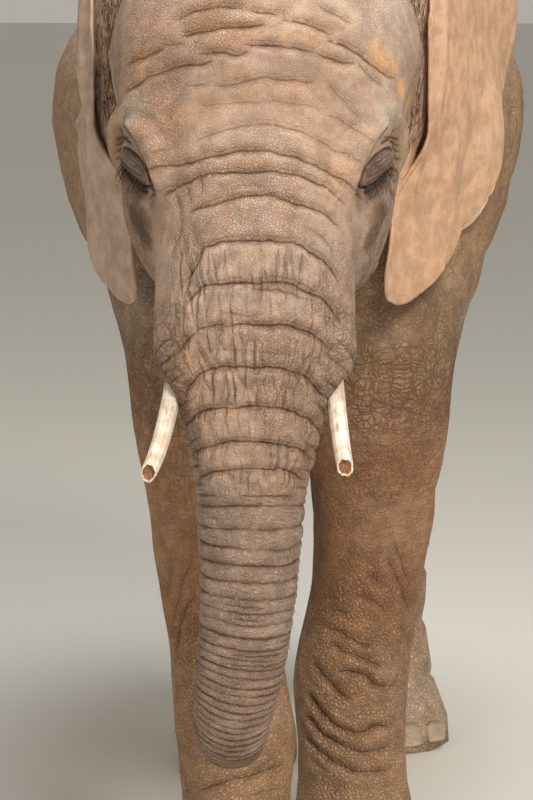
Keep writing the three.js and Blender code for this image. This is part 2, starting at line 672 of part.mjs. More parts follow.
// Two fingers, front and back, and two nostrils at the end of the trunk.
function withNostrils(piece) {
  const end = stationAt(trunkLength);
  const place = (across, front, along) => end.centre.clone()
    .addScaledVector(end.across, across).addScaledVector(end.front, front)
    .addScaledVector(end.along, along).add(new THREE.Vector3(HEAD_SHIFT, 0, 0));
  const basis = new THREE.Matrix4().makeBasis(end.across, end.front, end.along);
  const lump = (size, at) => {
    const shape = new THREE.SphereGeometry(1, 8, 6).rotateX(Math.PI / 2).scale(...size)
      .applyMatrix4(basis).translate(...at.toArray());
    return facingOut([...shape.attributes.position.array], [...shape.index.array]);
  };
  const lips = [
    lump([end.wide - 3, end.deep - 3, 16], place(0, 0, 0)),
    lump([21, 13, 38], place(0, 28, 12)),
    lump([26, 12, 25], place(0, -30, 8)),
  ];
  const nostrils = [-1, 1].map((side) => lump([11, 13, 44], place(side * 16, 1, 14)));
  return fused([piece, ...lips]).subtract(fused(nostrils));
}

// ---------- tusks ----------
const TUSK = { out: 154, front: -800, height: 1232, radius: 18.5, tip: 15 };
function tusk(side, length, spread, swell = 0) {
  const start = new THREE.Vector3(side * TUSK.out, TUSK.front, TUSK.height);
  const curve = new THREE.QuadraticBezierCurve3(
    start.clone().add(new THREE.Vector3(-side * 12, 42, 62)),
    start.clone().add(new THREE.Vector3(side * spread * 0.3, -length * 0.3, -length * 0.45)),
    start.clone().add(new THREE.Vector3(side * spread, -length * 0.82, -length * 0.62)));
  const rings = [];
  const steps = 8;
  for (let j = 0; j <= steps; j += 1) {
    const share = j / steps;
    const centre = curve.getPoint(share);
    const along = curve.getTangent(share);
    const across = new THREE.Vector3(1, 0, 0).addScaledVector(along, -along.x).normalize();
    const front = new THREE.Vector3().crossVectors(across, along);
    const radius = TUSK.radius + (TUSK.tip - TUSK.radius) * share + swell;
    const ring = [];
    for (let i = 0; i < 12; i += 1) {
      const turn = (2 * Math.PI * i) / 12;
      ring.push(centre.clone().addScaledVector(across, radius * Math.sin(turn))
        .addScaledVector(front, radius * Math.cos(turn))
        .add(new THREE.Vector3(HEAD_SHIFT, 0, 0)));
    }
    rings.push(ring);
  }
  rings[0].forEach((p) => p.addScaledVector(curve.getTangent(0), -swell));
  // The end is broken off at a slant that faces up and forward.
  const slant = rings[steps];
  const lowest = curve.getTangent(1);
  slant.forEach((p, i) => p.addScaledVector(lowest, -9 * Math.cos((2 * Math.PI * i) / 12) + 2));
  return swept(rings);
}
const tusks = {
  tusk_left: tusk(1, TUSK_OUT - 6, 17),
  tusk_right: tusk(-1, TUSK_OUT + 10, 35),
};
const tuskHoles = [tusk(1, TUSK_OUT - 6, 17, 1.4 * GAP), tusk(-1, TUSK_OUT + 10, 35, 1.4 * GAP)];

// ---------- eyes and lids ----------
// The lids nearly meet. Their slit slants down to the front.
const SLIT = { wide: 18, high: 4.5, slant: 0.35, drop: 8 };
function eyeSet(side) {
  const at = new THREE.Vector3(side * EYE.x + HEAD_SHIFT, EYE.y, EYE.z);
  const look = new THREE.Vector3(side * 0.7, -0.65, -0.26).normalize();
  const level = new THREE.Vector3(side * 0.65, 0.7, 0).normalize();
  const along = level.clone().addScaledVector(look, -level.dot(look)).normalize()
    .applyAxisAngle(look, side * SLIT.slant);
  const up = new THREE.Vector3().crossVectors(along, look).multiplyScalar(side).normalize();
  if (up.z < 0) up.negate();
  const place = (a, u, out) => at.clone().addScaledVector(along, a).addScaledVector(up, u)
    .addScaledVector(look, out);
  // Each lid's rim is a thin bar bent over the eyeball.
  const rim = (way, drop, thick) => {
    const rings = [];
    for (let j = 0; j <= 8; j += 1) {
      const t = -1 + j / 4;
      const a = t * (SLIT.wide + 4);
      const u = way * (SLIT.high + thick * 0.6) * Math.sqrt(1 - 0.96 * t * t) - drop;
      const out = Math.sqrt(Math.max((EYE.radius + 4) ** 2 - (a * a) * 0.8 - u * u * 0.3, 60));
      rings.push([0, 1, 2, 3, 4, 5].map((i) => {
        const turn = (Math.PI * i) / 3;
        const size = thick * (1 - 0.45 * t * t);
        return place(a, u + size * Math.sin(turn), out + size * Math.cos(turn));
      }));
    }
    return swept(rings);
  };
  const opening = new THREE.SphereGeometry(1, 14, 8).scale(SLIT.wide, SLIT.high + 1, 24)
    .applyMatrix4(new THREE.Matrix4().makeBasis(along, up, look.clone().multiplyScalar(side)))
    .translate(...place(0, -SLIT.drop, EYE.radius + 6).toArray());
  return {
    eye: ball(...at.toArray(), EYE.radius, 14, 9),
    socket: ball(...at.toArray(), EYE.radius + GAP, 14, 9),
    patch: ball(...at.toArray(), 62, 14, 10),
    overlap: ball(...at.toArray(), 65, 14, 10),
    rims: fused([rim(1, SLIT.drop, 5.5), rim(-1, SLIT.drop, 4)]),
    opening: facingOut([...opening.attributes.position.array], [...opening.index.array]),
  };
}
const eyes = { eye_left: eyeSet(1), eye_right: eyeSet(-1) };

// ---------- head and jaw ----------
let headSolid = meshed(head, [[-380, -1000, 1110], [290, -240, 2120]], CELL.head);
// The skin round each eye is meshed again on a finer grid.
for (const [n, { patch, overlap, rims, socket, opening }] of Object.values(eyes).entries()) {
  const middle = (n ? -1 : 1) * EYE.x + HEAD_SHIFT;
  const fine = meshed(head, [[middle - 75, EYE.y - 75, EYE.z - 75],
    [middle + 75, EYE.y + 75, EYE.z + 75]], CELL.eye);
  headSolid = headSolid.subtract(patch).add(fine.intersect(overlap)).add(rims);
  headSolid = headSolid.subtract(opening).subtract(socket);
}
for (const hole of tuskHoles) headSolid = headSolid.subtract(hole);
headSolid = trimmed(headSolid, opposite(NECK_CUT.normal), NECK_CUT.point);
const trunkCut = stationAt(cutLength);
const trunkCutPoint = trunkCut.centre.clone().add(new THREE.Vector3(HEAD_SHIFT, 0, 0)).toArray();

// The mouth runs from the lips, behind the trunk, up to its corner.
const MOUTH = { corner: [-598, 1330], lips: [-668, 1090], gape: 16 };
const jawShape = (grow, gape) => [
  [MOUTH.corner[0] - grow, MOUTH.corner[1] + grow],
  [MOUTH.lips[0] - gape - grow, MOUTH.lips[1]],
  [-380, 1090],
  [-380 + grow, 1330 + grow],
];
const jawSolid = headSolid.intersect(prism(jawShape(-GAP / 2, 0), -500, 400));
headSolid = headSolid.subtract(prism(jawShape(GAP / 2, MOUTH.gape), -500, 400));
headSolid = trimmed(headSolid, opposite(trunkCut.along.toArray()), trunkCutPoint);
addNode("head", headSolid, HIDE);
addNode("jaw", jawSolid, HIDE);
for (const [name, { eye }] of Object.entries(eyes)) addNode(name, eye, EYE_DARK);
for (const [name, solid] of Object.entries(tusks)) addNode(name, solid, IVORY);

// ---------- ears: thin sheets laid back along the neck and over the shoulder ----------
// Outline seen from the side, as [y, z], from the lower end of the root round the lobe
const EAR_OUTLINE = [
  [-352, 1590], [-386, 1450], [-360, 1346], [-295, 1325], [-208, 1378], [-102, 1452],
  [8, 1538], [115, 1645], [205, 1770], [240, 1900], [170, 2020], [0, 2080], [-170, 2085],
  [-300, 2030], [-368, 1900], [-365, 1740],
];
const EAR_CENTRE = [-170, 1750];
const EAR_TURNS = 34;
const EAR_RINGS = 4;
const EAR_THICK = { middle: 21, edge: 8 };
const EAR_CUP = { y: -290, z: 1640, wide: 60, high: 95, deep: 9 };
// flare: how far the rear edge stands out; lift: how much more it does so at the top
const EARS = {
  ear_left: { side: 1, flare: 198, lift: 4 },
  ear_right: { side: -1, flare: 103, lift: -55 },
};
const earEdge = new THREE.CatmullRomCurve3(
  EAR_OUTLINE.map(([y, z]) => new THREE.Vector3(0, y, z)), true, "catmullrom", 0.5);

// A point of the ear's middle surface: share 0 is its centre, 1 its edge.
function earPoint({ side, flare, lift }, share, turn) {
  const edge = earEdge.getPoint(turn);
  const y = EAR_CENTRE[0] + (edge.y - EAR_CENTRE[0]) * share;
  const z = EAR_CENTRE[1] + (edge.z - EAR_CENTRE[1]) * share;
  const behind = clamp((y + 370) / 640, 0, 1); // 0 at the root, 1 at the rear edge
  const low = clamp((1640 - z) / 330, 0, 1);
  const high = clamp((z - 1480) / 350, 0, 1);
  const wave = 7 * Math.sin(z / 62 + y / 95) * behind;
  const upper = THREE.MathUtils.smoothstep(z, 1530, 1690);
  const step = clamp((y + 350) / 150, 0, 1);
  const base = 268 + 64 * Math.max(upper, step) - 22 * low;
  let out = base + (flare + lift * high) * behind + wave;
  const clear = EAR_THICK.middle / 2 + 7;
  while (y > -330 && bodyAndLegs(side * out + HEAD_SHIFT, y, z) < clear && out < 700) out += 3;
  return new THREE.Vector3(side * out + HEAD_SHIFT, y, z);
}
function ear(shape) {
  const { side } = shape;
  const points = [earPoint(shape, 0, 0)];
  const half = [EAR_THICK.middle / 2];
  for (let r = 1; r <= EAR_RINGS; r += 1)
    for (let i = 0; i < EAR_TURNS; i += 1) {
      const share = r / EAR_RINGS;
      points.push(earPoint(shape, share, i / EAR_TURNS));
      half.push((EAR_THICK.middle + (EAR_THICK.edge - EAR_THICK.middle) * share ** 1.5) / 2);
    }
  const cup = ({ y, z }) => EAR_CUP.deep *
    Math.exp(-(((y - EAR_CUP.y) / EAR_CUP.wide) ** 2) - ((z - EAR_CUP.z) / EAR_CUP.high) ** 2);
  const inner = points.flatMap((p, n) => [p.x - side * half[n], p.y, p.z]);
  const outer = points.flatMap((p, n) => [p.x + side * (half[n] - cup(p)), p.y, p.z]);
  const triangles = [];
  const corner = (face, r, i) => face * points.length + 1 + r * EAR_TURNS + (i % EAR_TURNS);
  for (const face of [0, 1]) {
    const add = (a, b, c) => triangles.push(...(face ? [a, b, c] : [a, c, b]));
    for (let i = 0; i < EAR_TURNS; i += 1) {
      add(face * points.length, corner(face, 0, i), corner(face, 0, i + 1));
      for (let r = 0; r < EAR_RINGS - 1; r += 1) {
        add(corner(face, r, i), corner(face, r + 1, i), corner(face, r + 1, i + 1));
        add(corner(face, r, i), corner(face, r + 1, i + 1), corner(face, r, i + 1));
      }
    }
  }
  for (let i = 0; i < EAR_TURNS; i += 1) {
    const [a, b] = [corner(1, EAR_RINGS - 1, i), corner(1, EAR_RINGS - 1, i + 1)];
    const [c, d] = [corner(0, EAR_RINGS - 1, i), corner(0, EAR_RINGS - 1, i + 1)];
    triangles.push(a, c, d, a, d, b);
  }
  return facingOut([...inner, ...outer], triangles);
}
const fleshNearEars = (box) => meshed(bodyAndLegs, box, 36, 6);
for (const [name, shape] of Object.entries(EARS)) {
  const inner = shape.side > 0 ? 60 : -640;
  const flesh = fleshNearEars([[inner, -460, 1240], [inner + 580, 330, 2150]]);
  addNode(name, ear(shape).subtract(flesh), EAR_HIDE);
}

// ---------- tail with its two rows of bristles ----------
const TAIL = [
  [0, 1800, 1760], [0, 1880, 1640], [0, 1925, 1450], [8, 1945, 1220], [14, 1938, 980], [16, 1925, 780],
];
const TAIL_RADII = { root: 52, tip: 12 };
const tailLine = new THREE.CatmullRomCurve3(
  TAIL.map(([x, y, z]) => new THREE.Vector3(x + BARREL_SHIFT, y, z)), false, "centripetal");
function tailRing(share, sides = 10) {
  const centre = tailLine.getPoint(share);
  const along = tailLine.getTangent(share);
  const across = new THREE.Vector3(1, 0, 0).addScaledVector(along, -along.x).normalize();
  const front = new THREE.Vector3().crossVectors(across, along);
  const radius = TAIL_RADII.tip + (TAIL_RADII.root - TAIL_RADII.tip) * (1 - share) ** 1.6;
  return Array.from({ length: sides }, (_, i) => {
    const turn = (2 * Math.PI * i) / sides;
    return centre.clone().addScaledVector(across, radius * Math.sin(turn))
      .addScaledVector(front, radius * 1.15 * Math.cos(turn));
  });
}
// One flat, tapered lock of wiry hair, from `foot` towards `tip`, bent down on its way.
function lock(foot, tip, half) {
  const rings = [];
  const side = new THREE.Vector3().subVectors(tip, foot).cross(new THREE.Vector3(1, 0, 0)).normalize();
  for (const share of [0, 0.5, 1]) {
    const centre = foot.clone().lerp(tip, share);
    centre.addScaledVector(side, 14 * Math.sin(Math.PI * share));
    const width = half * (1 - 0.8 * share);
    const thick = 0.45 * width + 0.6;
    rings.push([[1, 0], [0, 1], [-1, 0], [0, -1]].map(([a, b]) => centre.clone()
      .addScaledVector(side, a * width).add(new THREE.Vector3(b * thick, 0, 0))));
  }
  return swept(rings);
}
const TUFT = { from: 0.82, rows: 5, length: 190 };
function tuft() {
  const locks = [];
  for (let i = 0; i < TUFT.rows; i += 1) {
    const share = TUFT.from + (1 - TUFT.from) * (i / (TUFT.rows - 1));
    const foot = tailLine.getPoint(Math.min(share, 0.985));
    for (const side of [-1, 1]) {
      const spread = 30 + 26 * Math.sin(i * 1.7 + side);
      const drop = TUFT.length * (0.75 + 0.3 * (i / TUFT.rows));
      const sway = 9 * Math.sin(i * 2.3 + side * 1.1);
      locks.push(lock(foot, foot.clone().add(new THREE.Vector3(sway, side * spread, -drop)), 8));
    }
  }
  const end = tailLine.getPoint(0.985);
  locks.push(lock(end, end.clone().add(new THREE.Vector3(4, 4, -TUFT.length * 1.1)), 9));
  return fused(locks);
}
const TAIL_CUT = 0.78;
const tailRings = (a, b, steps) =>
  Array.from({ length: steps + 1 }, (_, i) => tailRing(a + ((b - a) * i) / steps));
const rump = meshed(barrel, [[-200, 1560, 1350], [200, 1980, 2000]], 45, 4);
addNode("tail", swept(tailRings(0, TAIL_CUT - 0.0004, 12)).subtract(rump), HIDE);
addNode("tail_tuft", fused([swept(tailRings(TAIL_CUT, 1, 4)), tuft()]), BRISTLE);

// ---------- the origin: on the floor, under the middle of the bounding box ----------
const bounds = new THREE.Box3().setFromObject(root);
root.children.forEach((mesh) =>
  mesh.geometry.translate(-(bounds.min.x + bounds.max.x) / 2, -(bounds.min.y + bounds.max.y) / 2, 0));

export default root;
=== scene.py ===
# %% [markdown]
# # A young African elephant, life size
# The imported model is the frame: every size and place comes from it. This lesson dresses it. One
# skin takes the place of all the nodes of flesh, the creases are pressed into it, and eyes, lids,
# tusks, toenails and hairs are made as pieces of their own. Lengths in the tables are in
# millimetres, in the animal's own frame. Blender's unit is the metre.

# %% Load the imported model
import json
import math

import bpy
import numpy as np
from mathutils import Matrix, Vector
from mathutils.bvhtree import BVHTree
from mathutils.kdtree import KDTree

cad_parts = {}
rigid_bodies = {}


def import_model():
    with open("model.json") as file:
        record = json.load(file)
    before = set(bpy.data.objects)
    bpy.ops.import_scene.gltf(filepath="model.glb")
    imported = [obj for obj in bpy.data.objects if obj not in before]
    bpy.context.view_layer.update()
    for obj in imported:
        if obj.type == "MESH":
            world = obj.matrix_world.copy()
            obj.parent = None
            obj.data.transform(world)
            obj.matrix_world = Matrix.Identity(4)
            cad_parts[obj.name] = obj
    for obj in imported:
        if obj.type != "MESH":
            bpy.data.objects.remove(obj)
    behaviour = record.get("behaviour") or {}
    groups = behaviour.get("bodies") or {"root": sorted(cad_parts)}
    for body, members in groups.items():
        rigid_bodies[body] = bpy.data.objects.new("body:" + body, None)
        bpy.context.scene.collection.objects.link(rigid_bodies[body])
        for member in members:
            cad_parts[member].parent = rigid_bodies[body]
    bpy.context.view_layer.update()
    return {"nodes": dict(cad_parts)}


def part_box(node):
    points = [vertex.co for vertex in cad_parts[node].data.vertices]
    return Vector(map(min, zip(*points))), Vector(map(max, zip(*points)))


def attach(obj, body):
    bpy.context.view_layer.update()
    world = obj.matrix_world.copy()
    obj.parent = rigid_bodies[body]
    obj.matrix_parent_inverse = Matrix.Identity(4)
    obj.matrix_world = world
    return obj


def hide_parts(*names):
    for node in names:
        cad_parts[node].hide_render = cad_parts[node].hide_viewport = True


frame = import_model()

# %% [markdown]
# ## Small helpers
# Colours are written as the hex values that a paint chart gives, and one function turns them to
# the linear values that the shader works in. Another adds a node with its settings and links, so
# that each material reads as a list of what it is made of.

# %% Helpers for colours, nodes and objects
def linear(hex_colour):
    values = [int(hex_colour[i:i + 2], 16) / 255 for i in (1, 3, 5)]
    return [v / 12.92 if v <= 0.04045 else ((v + 0.055) / 1.055) ** 2.4 for v in values] + [1.0]


def node(tree, kind, settings=None, **links):
    """Adds a node. `settings` are its properties and socket values. `links` join its sockets,
    by name or as i0, i1 and so on, to another node's first live output or to a socket."""
    made = tree.nodes.new("ShaderNode" + kind)
    for key, value in (settings or {}).items():
        if isinstance(key, str) and key not in made.inputs:
            setattr(made, key, value)
        else:
            made.inputs[key].default_value = value
    for key, source in links.items():
        socket = made.inputs[int(key[1:])] if key[0] == "i" and key[1:].isdigit() else made.inputs[key]
        if isinstance(source, bpy.types.Node):
            source = next(output for output in source.outputs if output.enabled)
        tree.links.new(source, socket)
    return made


def material(name):
    made = bpy.data.materials.new(name)
    made.use_nodes = True
    return made


def finished(tree, colour, rough, bump, settings):
    """Links colour, roughness and bump to the material's shader, and sets its other values."""
    shader = tree.nodes["Principled BSDF"]
    for key, value in settings.items():
        shader.inputs[key].default_value = value
    tree.links.new(colour.outputs[2], shader.inputs["Base Color"])
    tree.links.new(rough.outputs[0], shader.inputs["Roughness"])
    tree.links.new(bump.outputs[0], shader.inputs["Normal"])


def added(name, data):
    """Puts a new object with this data into the scene."""
    made = bpy.data.objects.new(name, data)
    bpy.context.scene.collection.objects.link(made)
    return made


def only(piece, *others):
    """Selects these objects alone and makes the first one active."""
    bpy.ops.object.select_all(action="DESELECT")
    for chosen in (piece, *others):
        chosen.select_set(True)
    bpy.context.view_layer.objects.active = piece
    return piece


def faced_out(piece):
    """Turns all faces of a closed piece outwards."""
    only(piece)
    bpy.ops.object.mode_set(mode="EDIT")
    bpy.ops.mesh.select_all(action="SELECT")
    bpy.ops.mesh.normals_make_consistent(inside=False)
    bpy.ops.object.mode_set(mode="OBJECT")


def modified(piece, kind, **settings):
    """Adds a modifier to the object and applies it."""
    only(piece)
    modifier = piece.modifiers.new(kind.lower(), kind)
    for key, value in settings.items():
        setattr(modifier, key, value)
    bpy.ops.object.modifier_apply(modifier=modifier.name)
    return piece


def points_of(piece):
    numbers = np.empty(len(piece.data.vertices) * 3, np.float32)
    piece.data.vertices.foreach_get("co", numbers)
    return numbers.reshape(-1, 3).astype(float)


def move_points(piece, places):
    piece.data.vertices.foreach_set("co", np.ascontiguousarray(places, np.float32).ravel())
    piece.data.update()


def normals_of(piece):
    numbers = np.empty(len(piece.data.vertices) * 3, np.float32)
    piece.data.vertex_normals.foreach_get("vector", numbers)
    return numbers.reshape(-1, 3).astype(float)


def tree_of(piece):
    """A search tree of the object's faces, for rays and nearest points."""
    return BVHTree.FromPolygons([tuple(p) for p in points_of(piece)],
                                [tuple(p.vertices) for p in piece.data.polygons])


def unit(rows):
    return rows / np.linalg.norm(rows, axis=1)[:, None]


def note(piece, name, values):
    """Keeps one number for each vertex, which a material can read."""
    layer = piece.data.attributes.get(name) or piece.data.attributes.new(name, "FLOAT", "POINT")
    layer.data.foreach_set("value", np.ascontiguousarray(values, np.float32))


def step(low, high, values):
    t = np.clip((values - low) / (high - low), 0, 1)
    return t * t * (3 - 2 * t)


def noise(points, size, seed=0):
    """Smooth noise from -1 to 1. Its swells are about `size` wide, in the points' own unit."""
    q = np.asarray(points, float) / size + 1000
    cell = np.floor(q).astype(np.int64)
    part = q - cell
    part = part * part * (3 - 2 * part)
    total = np.zeros(len(q))
    for corner in range(8):
        bits = np.array([corner & 1, corner >> 1 & 1, corner >> 2 & 1])
        at = cell + bits
        mixed = (at[:, 0] * 73856093) ^ (at[:, 1] * 19349663) ^ (at[:, 2] * 83492791) ^ (seed * 7919 + 13)
        mixed = (mixed & 0xFFFFFFFF) * 2246822519 & 0xFFFFFFFF
        mixed = ((mixed ^ (mixed >> 15)) * 3266489917) & 0xFFFFFFFF
        value = ((mixed ^ (mixed >> 16)) & 0xFFFFF) / 0xFFFFF * 2 - 1
        weight = np.where(bits, part, 1 - part).prod(axis=1)
        total += value * weight
    return total


# %% [markdown]
# ## Where things are
# The animal's own frame has its middle plane at x = 0 and its soles at z = 0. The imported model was
# moved so that its box is centred. The left eye says by how much, and two functions change a
# point from one frame to the other.

# %% The animal's frame
EYE_AT = {1: np.array([167.0, -658.0, 1631.0]), -1: np.array([-271.0, -658.0, 1631.0])}
EYE_RADIUS = 19.5
eye_low, eye_high = (np.array(corner) * 1000 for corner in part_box("eye_left"))
MOVED = (eye_low + eye_high) / 2 - EYE_AT[1]
MOVED[2] = 0.0


def to_frame(points):
    """Millimetres of the animal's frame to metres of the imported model."""
    return (np.asarray(points, float) + MOVED) / 1000


def to_animal(points):
    return np.asarray(points, float) * 1000 - MOVED


print("the packed model is moved by", np.round(MOVED, 2), "mm")

# %% [markdown]
# ## Camera, light and floor
# The viewer stands in front of the animal, a little above its shoulder, and looks slightly down
# with a long lens, so the view cuts off the crown of the head and the forefeet. A large soft
# light high in front, a weaker one at the left and one overhead act as an overcast sky. The floor
# is plain and pale.

# %% Camera
CAMERA_AT = [149.3, -7637.0, 2206.0]
LOOKS_DOWN, LOOKS_LEFT = 8.36, 1.5
camera_data = bpy.data.cameras.new("viewer")
camera_data.sensor_fit = "VERTICAL"
camera_data.sensor_height = 24.0
camera_data.lens = 110.5
camera = added("viewer", camera_data)
camera.location = to_frame(CAMERA_AT)
camera.rotation_euler = (math.radians(90 - LOOKS_DOWN), 0, math.radians(LOOKS_LEFT))
bpy.context.scene.camera = camera

# %% Light and floor
def soft_light(name, place, target, size, power, colour):
    data = bpy.data.lights.new(name, "AREA")
    data.shape = "DISK"
    data.size = size
    data.energy = power
    data.color = linear(colour)[:3]
    lamp = added(name, data)
    lamp.location = place
    lamp.rotation_euler = (Vector(target) - Vector(place)).to_track_quat("-Z", "Y").to_euler()


soft_light("key_light", (2.6, -7.0, 6.4), (0, -0.8, 1.1), 2.2, 640, "#FFF3E4")
soft_light("fill_light", (-4.6, -6.0, 2.6), (0, -0.4, 1.1), 3.6, 70, "#FFF1E2")
soft_light("top_light", (0.6, -0.6, 6.6), (0, -0.2, 1.0), 3.0, 230, "#FFFFFF")

world = bpy.data.worlds.new("studio")
world.use_nodes = True
world.node_tree.nodes["Background"].inputs["Color"].default_value = linear("#E3DDD4")
world.node_tree.nodes["Background"].inputs["Strength"].default_value = 0.56
bpy.context.scene.world = world
bpy.context.scene.view_settings.view_transform = "Standard"

bpy.ops.object.select_all(action="DESELECT")
bpy.ops.mesh.primitive_plane_add(size=60, location=(0, 12, 0))
floor = bpy.context.object
floor.name = "studio_floor"
floor_paint = material("matt_floor_paint")
shader = floor_paint.node_tree.nodes["Principled BSDF"]
grain = node(floor_paint.node_tree, "TexNoise", {"Scale": 3.0, "Detail": 4.0})
tone = node(floor_paint.node_tree, "Mix",
            {"data_type": "RGBA", 6: linear("#D0CFC8"), 7: linear("#D7D6D0")}, i0=grain)
floor_paint.node_tree.links.new(tone.outputs[2], shader.inputs["Base Color"])
shader.inputs["Roughness"].default_value = 0.85
floor.data.materials.append(floor_paint)
print("camera at", tuple(round(v, 3) for v in camera.location), "lens", camera_data.lens)

# %% [markdown]
# ## One skin over all the flesh
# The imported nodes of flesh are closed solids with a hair's gap between them. Copies are merged,
# swollen by 0.6 mm so that they overlap, joined, and remeshed on a grid of voxels, which makes
# one closed surface of even quads. Quads of one size take smoothing and pressed creases better
# than the long triangles of the solids.

# %% Join and remesh
FLESH = sorted(name for name in frame["nodes"]
               if not name.startswith(("eye", "tusk", "ear", "tail_tuft")))
VOXEL = 0.009
SWELL = 0.0006


def copy_of(name):
    source = frame["nodes"][name]
    twin = only(added(name + "_copy", source.data.copy()))
    bpy.ops.object.mode_set(mode="EDIT")
    bpy.ops.mesh.select_all(action="SELECT")
    bpy.ops.mesh.remove_doubles(threshold=0.00002)
    bpy.ops.mesh.normals_make_consistent(inside=False)
    bpy.ops.object.mode_set(mode="OBJECT")
    twin.data.materials.clear()
    return twin


copies = [copy_of(name) for name in FLESH]
for twin in copies:
    move_points(twin, points_of(twin) + normals_of(twin) * SWELL)


def between(rows, t):
    """Smooth values between the rows of a table, at fractional row numbers `t`."""
    last = len(rows) - 1
    i = np.clip(np.floor(t).astype(int), 0, last - 1)
    s = (t - i)[:, None]
    before, a, b, after = (rows[np.clip(i + k, 0, last)] for k in (-1, 0, 1, 2))
    cubic = 3 * (a - b) + after - before
    square = 2 * before - 5 * a + 4 * b - after
    return a + 0.5 * s * ((b - before) + s * (square + s * cubic))

# %% [markdown]
# The gristle at the root of each ear runs up the side of the neck, behind the ear's front edge.
# It is a row of balls joined into the flesh before the remesh.

# %% Roots of the ears
EAR_ROOT = [(262, -318, 2010, 40), (268, -322, 1950, 46), (268, -326, 1880, 48), (262, -330, 1800, 48),
            (254, -334, 1720, 46), (246, -336, 1640, 42), (238, -338, 1560, 38), (228, -338, 1480, 32),
            (216, -334, 1410, 26), (300, -296, 2030, 42), (302, -298, 1960, 46), (304, -300, 1890, 48),
            (304, -302, 1820, 48), (300, -304, 1750, 46), (290, -308, 1685, 42), (272, -314, 1620, 38),
            (256, -320, 1560, 34)]
# The middle of the head lies to the right of the animal's middle plane
HEAD_SHIFT = -52.0
for side in (1, -1):
    for x, y, z, radius in EAR_ROOT:
        bpy.ops.object.select_all(action="DESELECT")
        bpy.ops.mesh.primitive_uv_sphere_add(
            segments=24, ring_count=16, radius=radius / 1000,
            location=to_frame([side * x + HEAD_SHIFT, y, z]), scale=(1, 1.15, 1.3))
        copies.append(bpy.context.object)

# %% The end of the tail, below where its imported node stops
TAIL_LINE = np.array([[0, 1800, 1760], [0, 1880, 1640], [0, 1925, 1450], [8, 1945, 1220],
                      [14, 1938, 980], [16, 1925, 780]], float) + [-26, 0, 0]


def tail_at(share):
    """Centre and half width of the tail, at shares of its length."""
    return between(TAIL_LINE, share * (len(TAIL_LINE) - 1)), 12 + 40 * (1 - share) ** 1.6


for place, radius in zip(*tail_at(np.linspace(0.70, 0.99, 26))):
    bpy.ops.object.select_all(action="DESELECT")
    bpy.ops.mesh.primitive_uv_sphere_add(segments=16, ring_count=12, radius=radius / 1000,
                                         location=to_frame(place), scale=(0.95, 1.1, 1.2))
    copies.append(bpy.context.object)

# %% One closed skin
skin = only(*copies)
bpy.ops.object.join()
bpy.ops.object.transform_apply(location=True, rotation=True, scale=True)
skin.name = "hide"
modified(skin, "REMESH", mode="VOXEL", voxel_size=VOXEL, adaptivity=0.0)
whole = len(skin.data.vertices)
# The remesh also covers hollows between the solids. Only the surface that the lowest point
# belongs to is kept.
only(skin)
lowest = int(points_of(skin)[:, 2].argmin())
bpy.ops.object.mode_set(mode="EDIT")
bpy.ops.mesh.select_mode(type="VERT")
bpy.ops.mesh.select_all(action="DESELECT")
bpy.ops.object.mode_set(mode="OBJECT")
skin.data.vertices[lowest].select = True
bpy.ops.object.mode_set(mode="EDIT")
bpy.ops.mesh.select_linked()
bpy.ops.mesh.select_all(action="INVERT")
bpy.ops.mesh.delete(type="VERT")
bpy.ops.object.mode_set(mode="OBJECT")
print("skin after the remesh:", len(skin.data.vertices), "vertices of", whole)

# %% [markdown]
# The facets of the solids go when each point moves towards the middle of its neighbours, many
# times. That alone would shrink the limbs, so what the smoothing took away is smoothed as well
# and given back: broad form stays and facets don't. Limbs and barrel, which have large facets,
# get the most rounds, and the small forms of the face and the mouth get few.

# %% Smooth the skin
def edges_of(piece):
    pairs = np.empty(len(piece.data.edges) * 2, np.int32)
    piece.data.edges.foreach_get("vertices", pairs)
    return pairs.reshape(-1, 2)


def eased(values, pairs, share, rounds):
    """Moves each point `share` of the way to the mean of its neighbours, `rounds` times."""
    a, b = pairs.T
    count = np.maximum(np.bincount(a, minlength=len(values)) + np.bincount(b, minlength=len(values)), 1)
    for _ in range(rounds):
        mean = np.stack([np.bincount(a, values[b, k], len(values)) + np.bincount(b, values[a, k], len(values))
                         for k in range(values.shape[1])], axis=1) / count[:, None]
        values = values + (mean - values) * share[:, None]
    return values


def smoothed(values, pairs, share, rounds):
    soft = eased(values, pairs, share, rounds)
    return soft + eased(values - soft, pairs, share, rounds)


# %% Centreline of the trunk: x from the middle of the face, y, z, half width and half depth
TRUNK = np.array([
    (0, -600, 1760, 215, 150), (0, -665, 1620, 184, 165), (0, -728, 1460, 177, 168),
    (0, -775, 1320, 170, 155), (-3, -800, 1180, 137, 130), (-7, -808, 1020, 106, 107),
    (-10, -806, 870, 94, 95), (-20, -798, 740, 87, 87), (-36, -775, 628, 81, 80),
    (-48, -720, 545, 73, 71), (-48, -645, 524, 65, 62), (-44, -574, 551, 57, 53),
    (-38, -524, 610, 50, 47), (-34, -500, 675, 46, 43)], float)
line = between(TRUNK, np.linspace(0, len(TRUNK) - 1, 261))
line[:, 0] += HEAD_SHIFT
LINE_AT, LINE_HALF = line[:, :3], line[:, 3:]
LINE_ALONG = unit(np.gradient(LINE_AT, axis=0))
LINE_ACROSS = unit(np.array([1.0, 0, 0]) - LINE_ALONG * LINE_ALONG[:, :1])
LINE_FRONT = np.cross(LINE_ALONG, LINE_ACROSS)
LINE_RUN = np.concatenate([[0], np.cumsum(np.linalg.norm(np.diff(LINE_AT, axis=0), axis=1))])


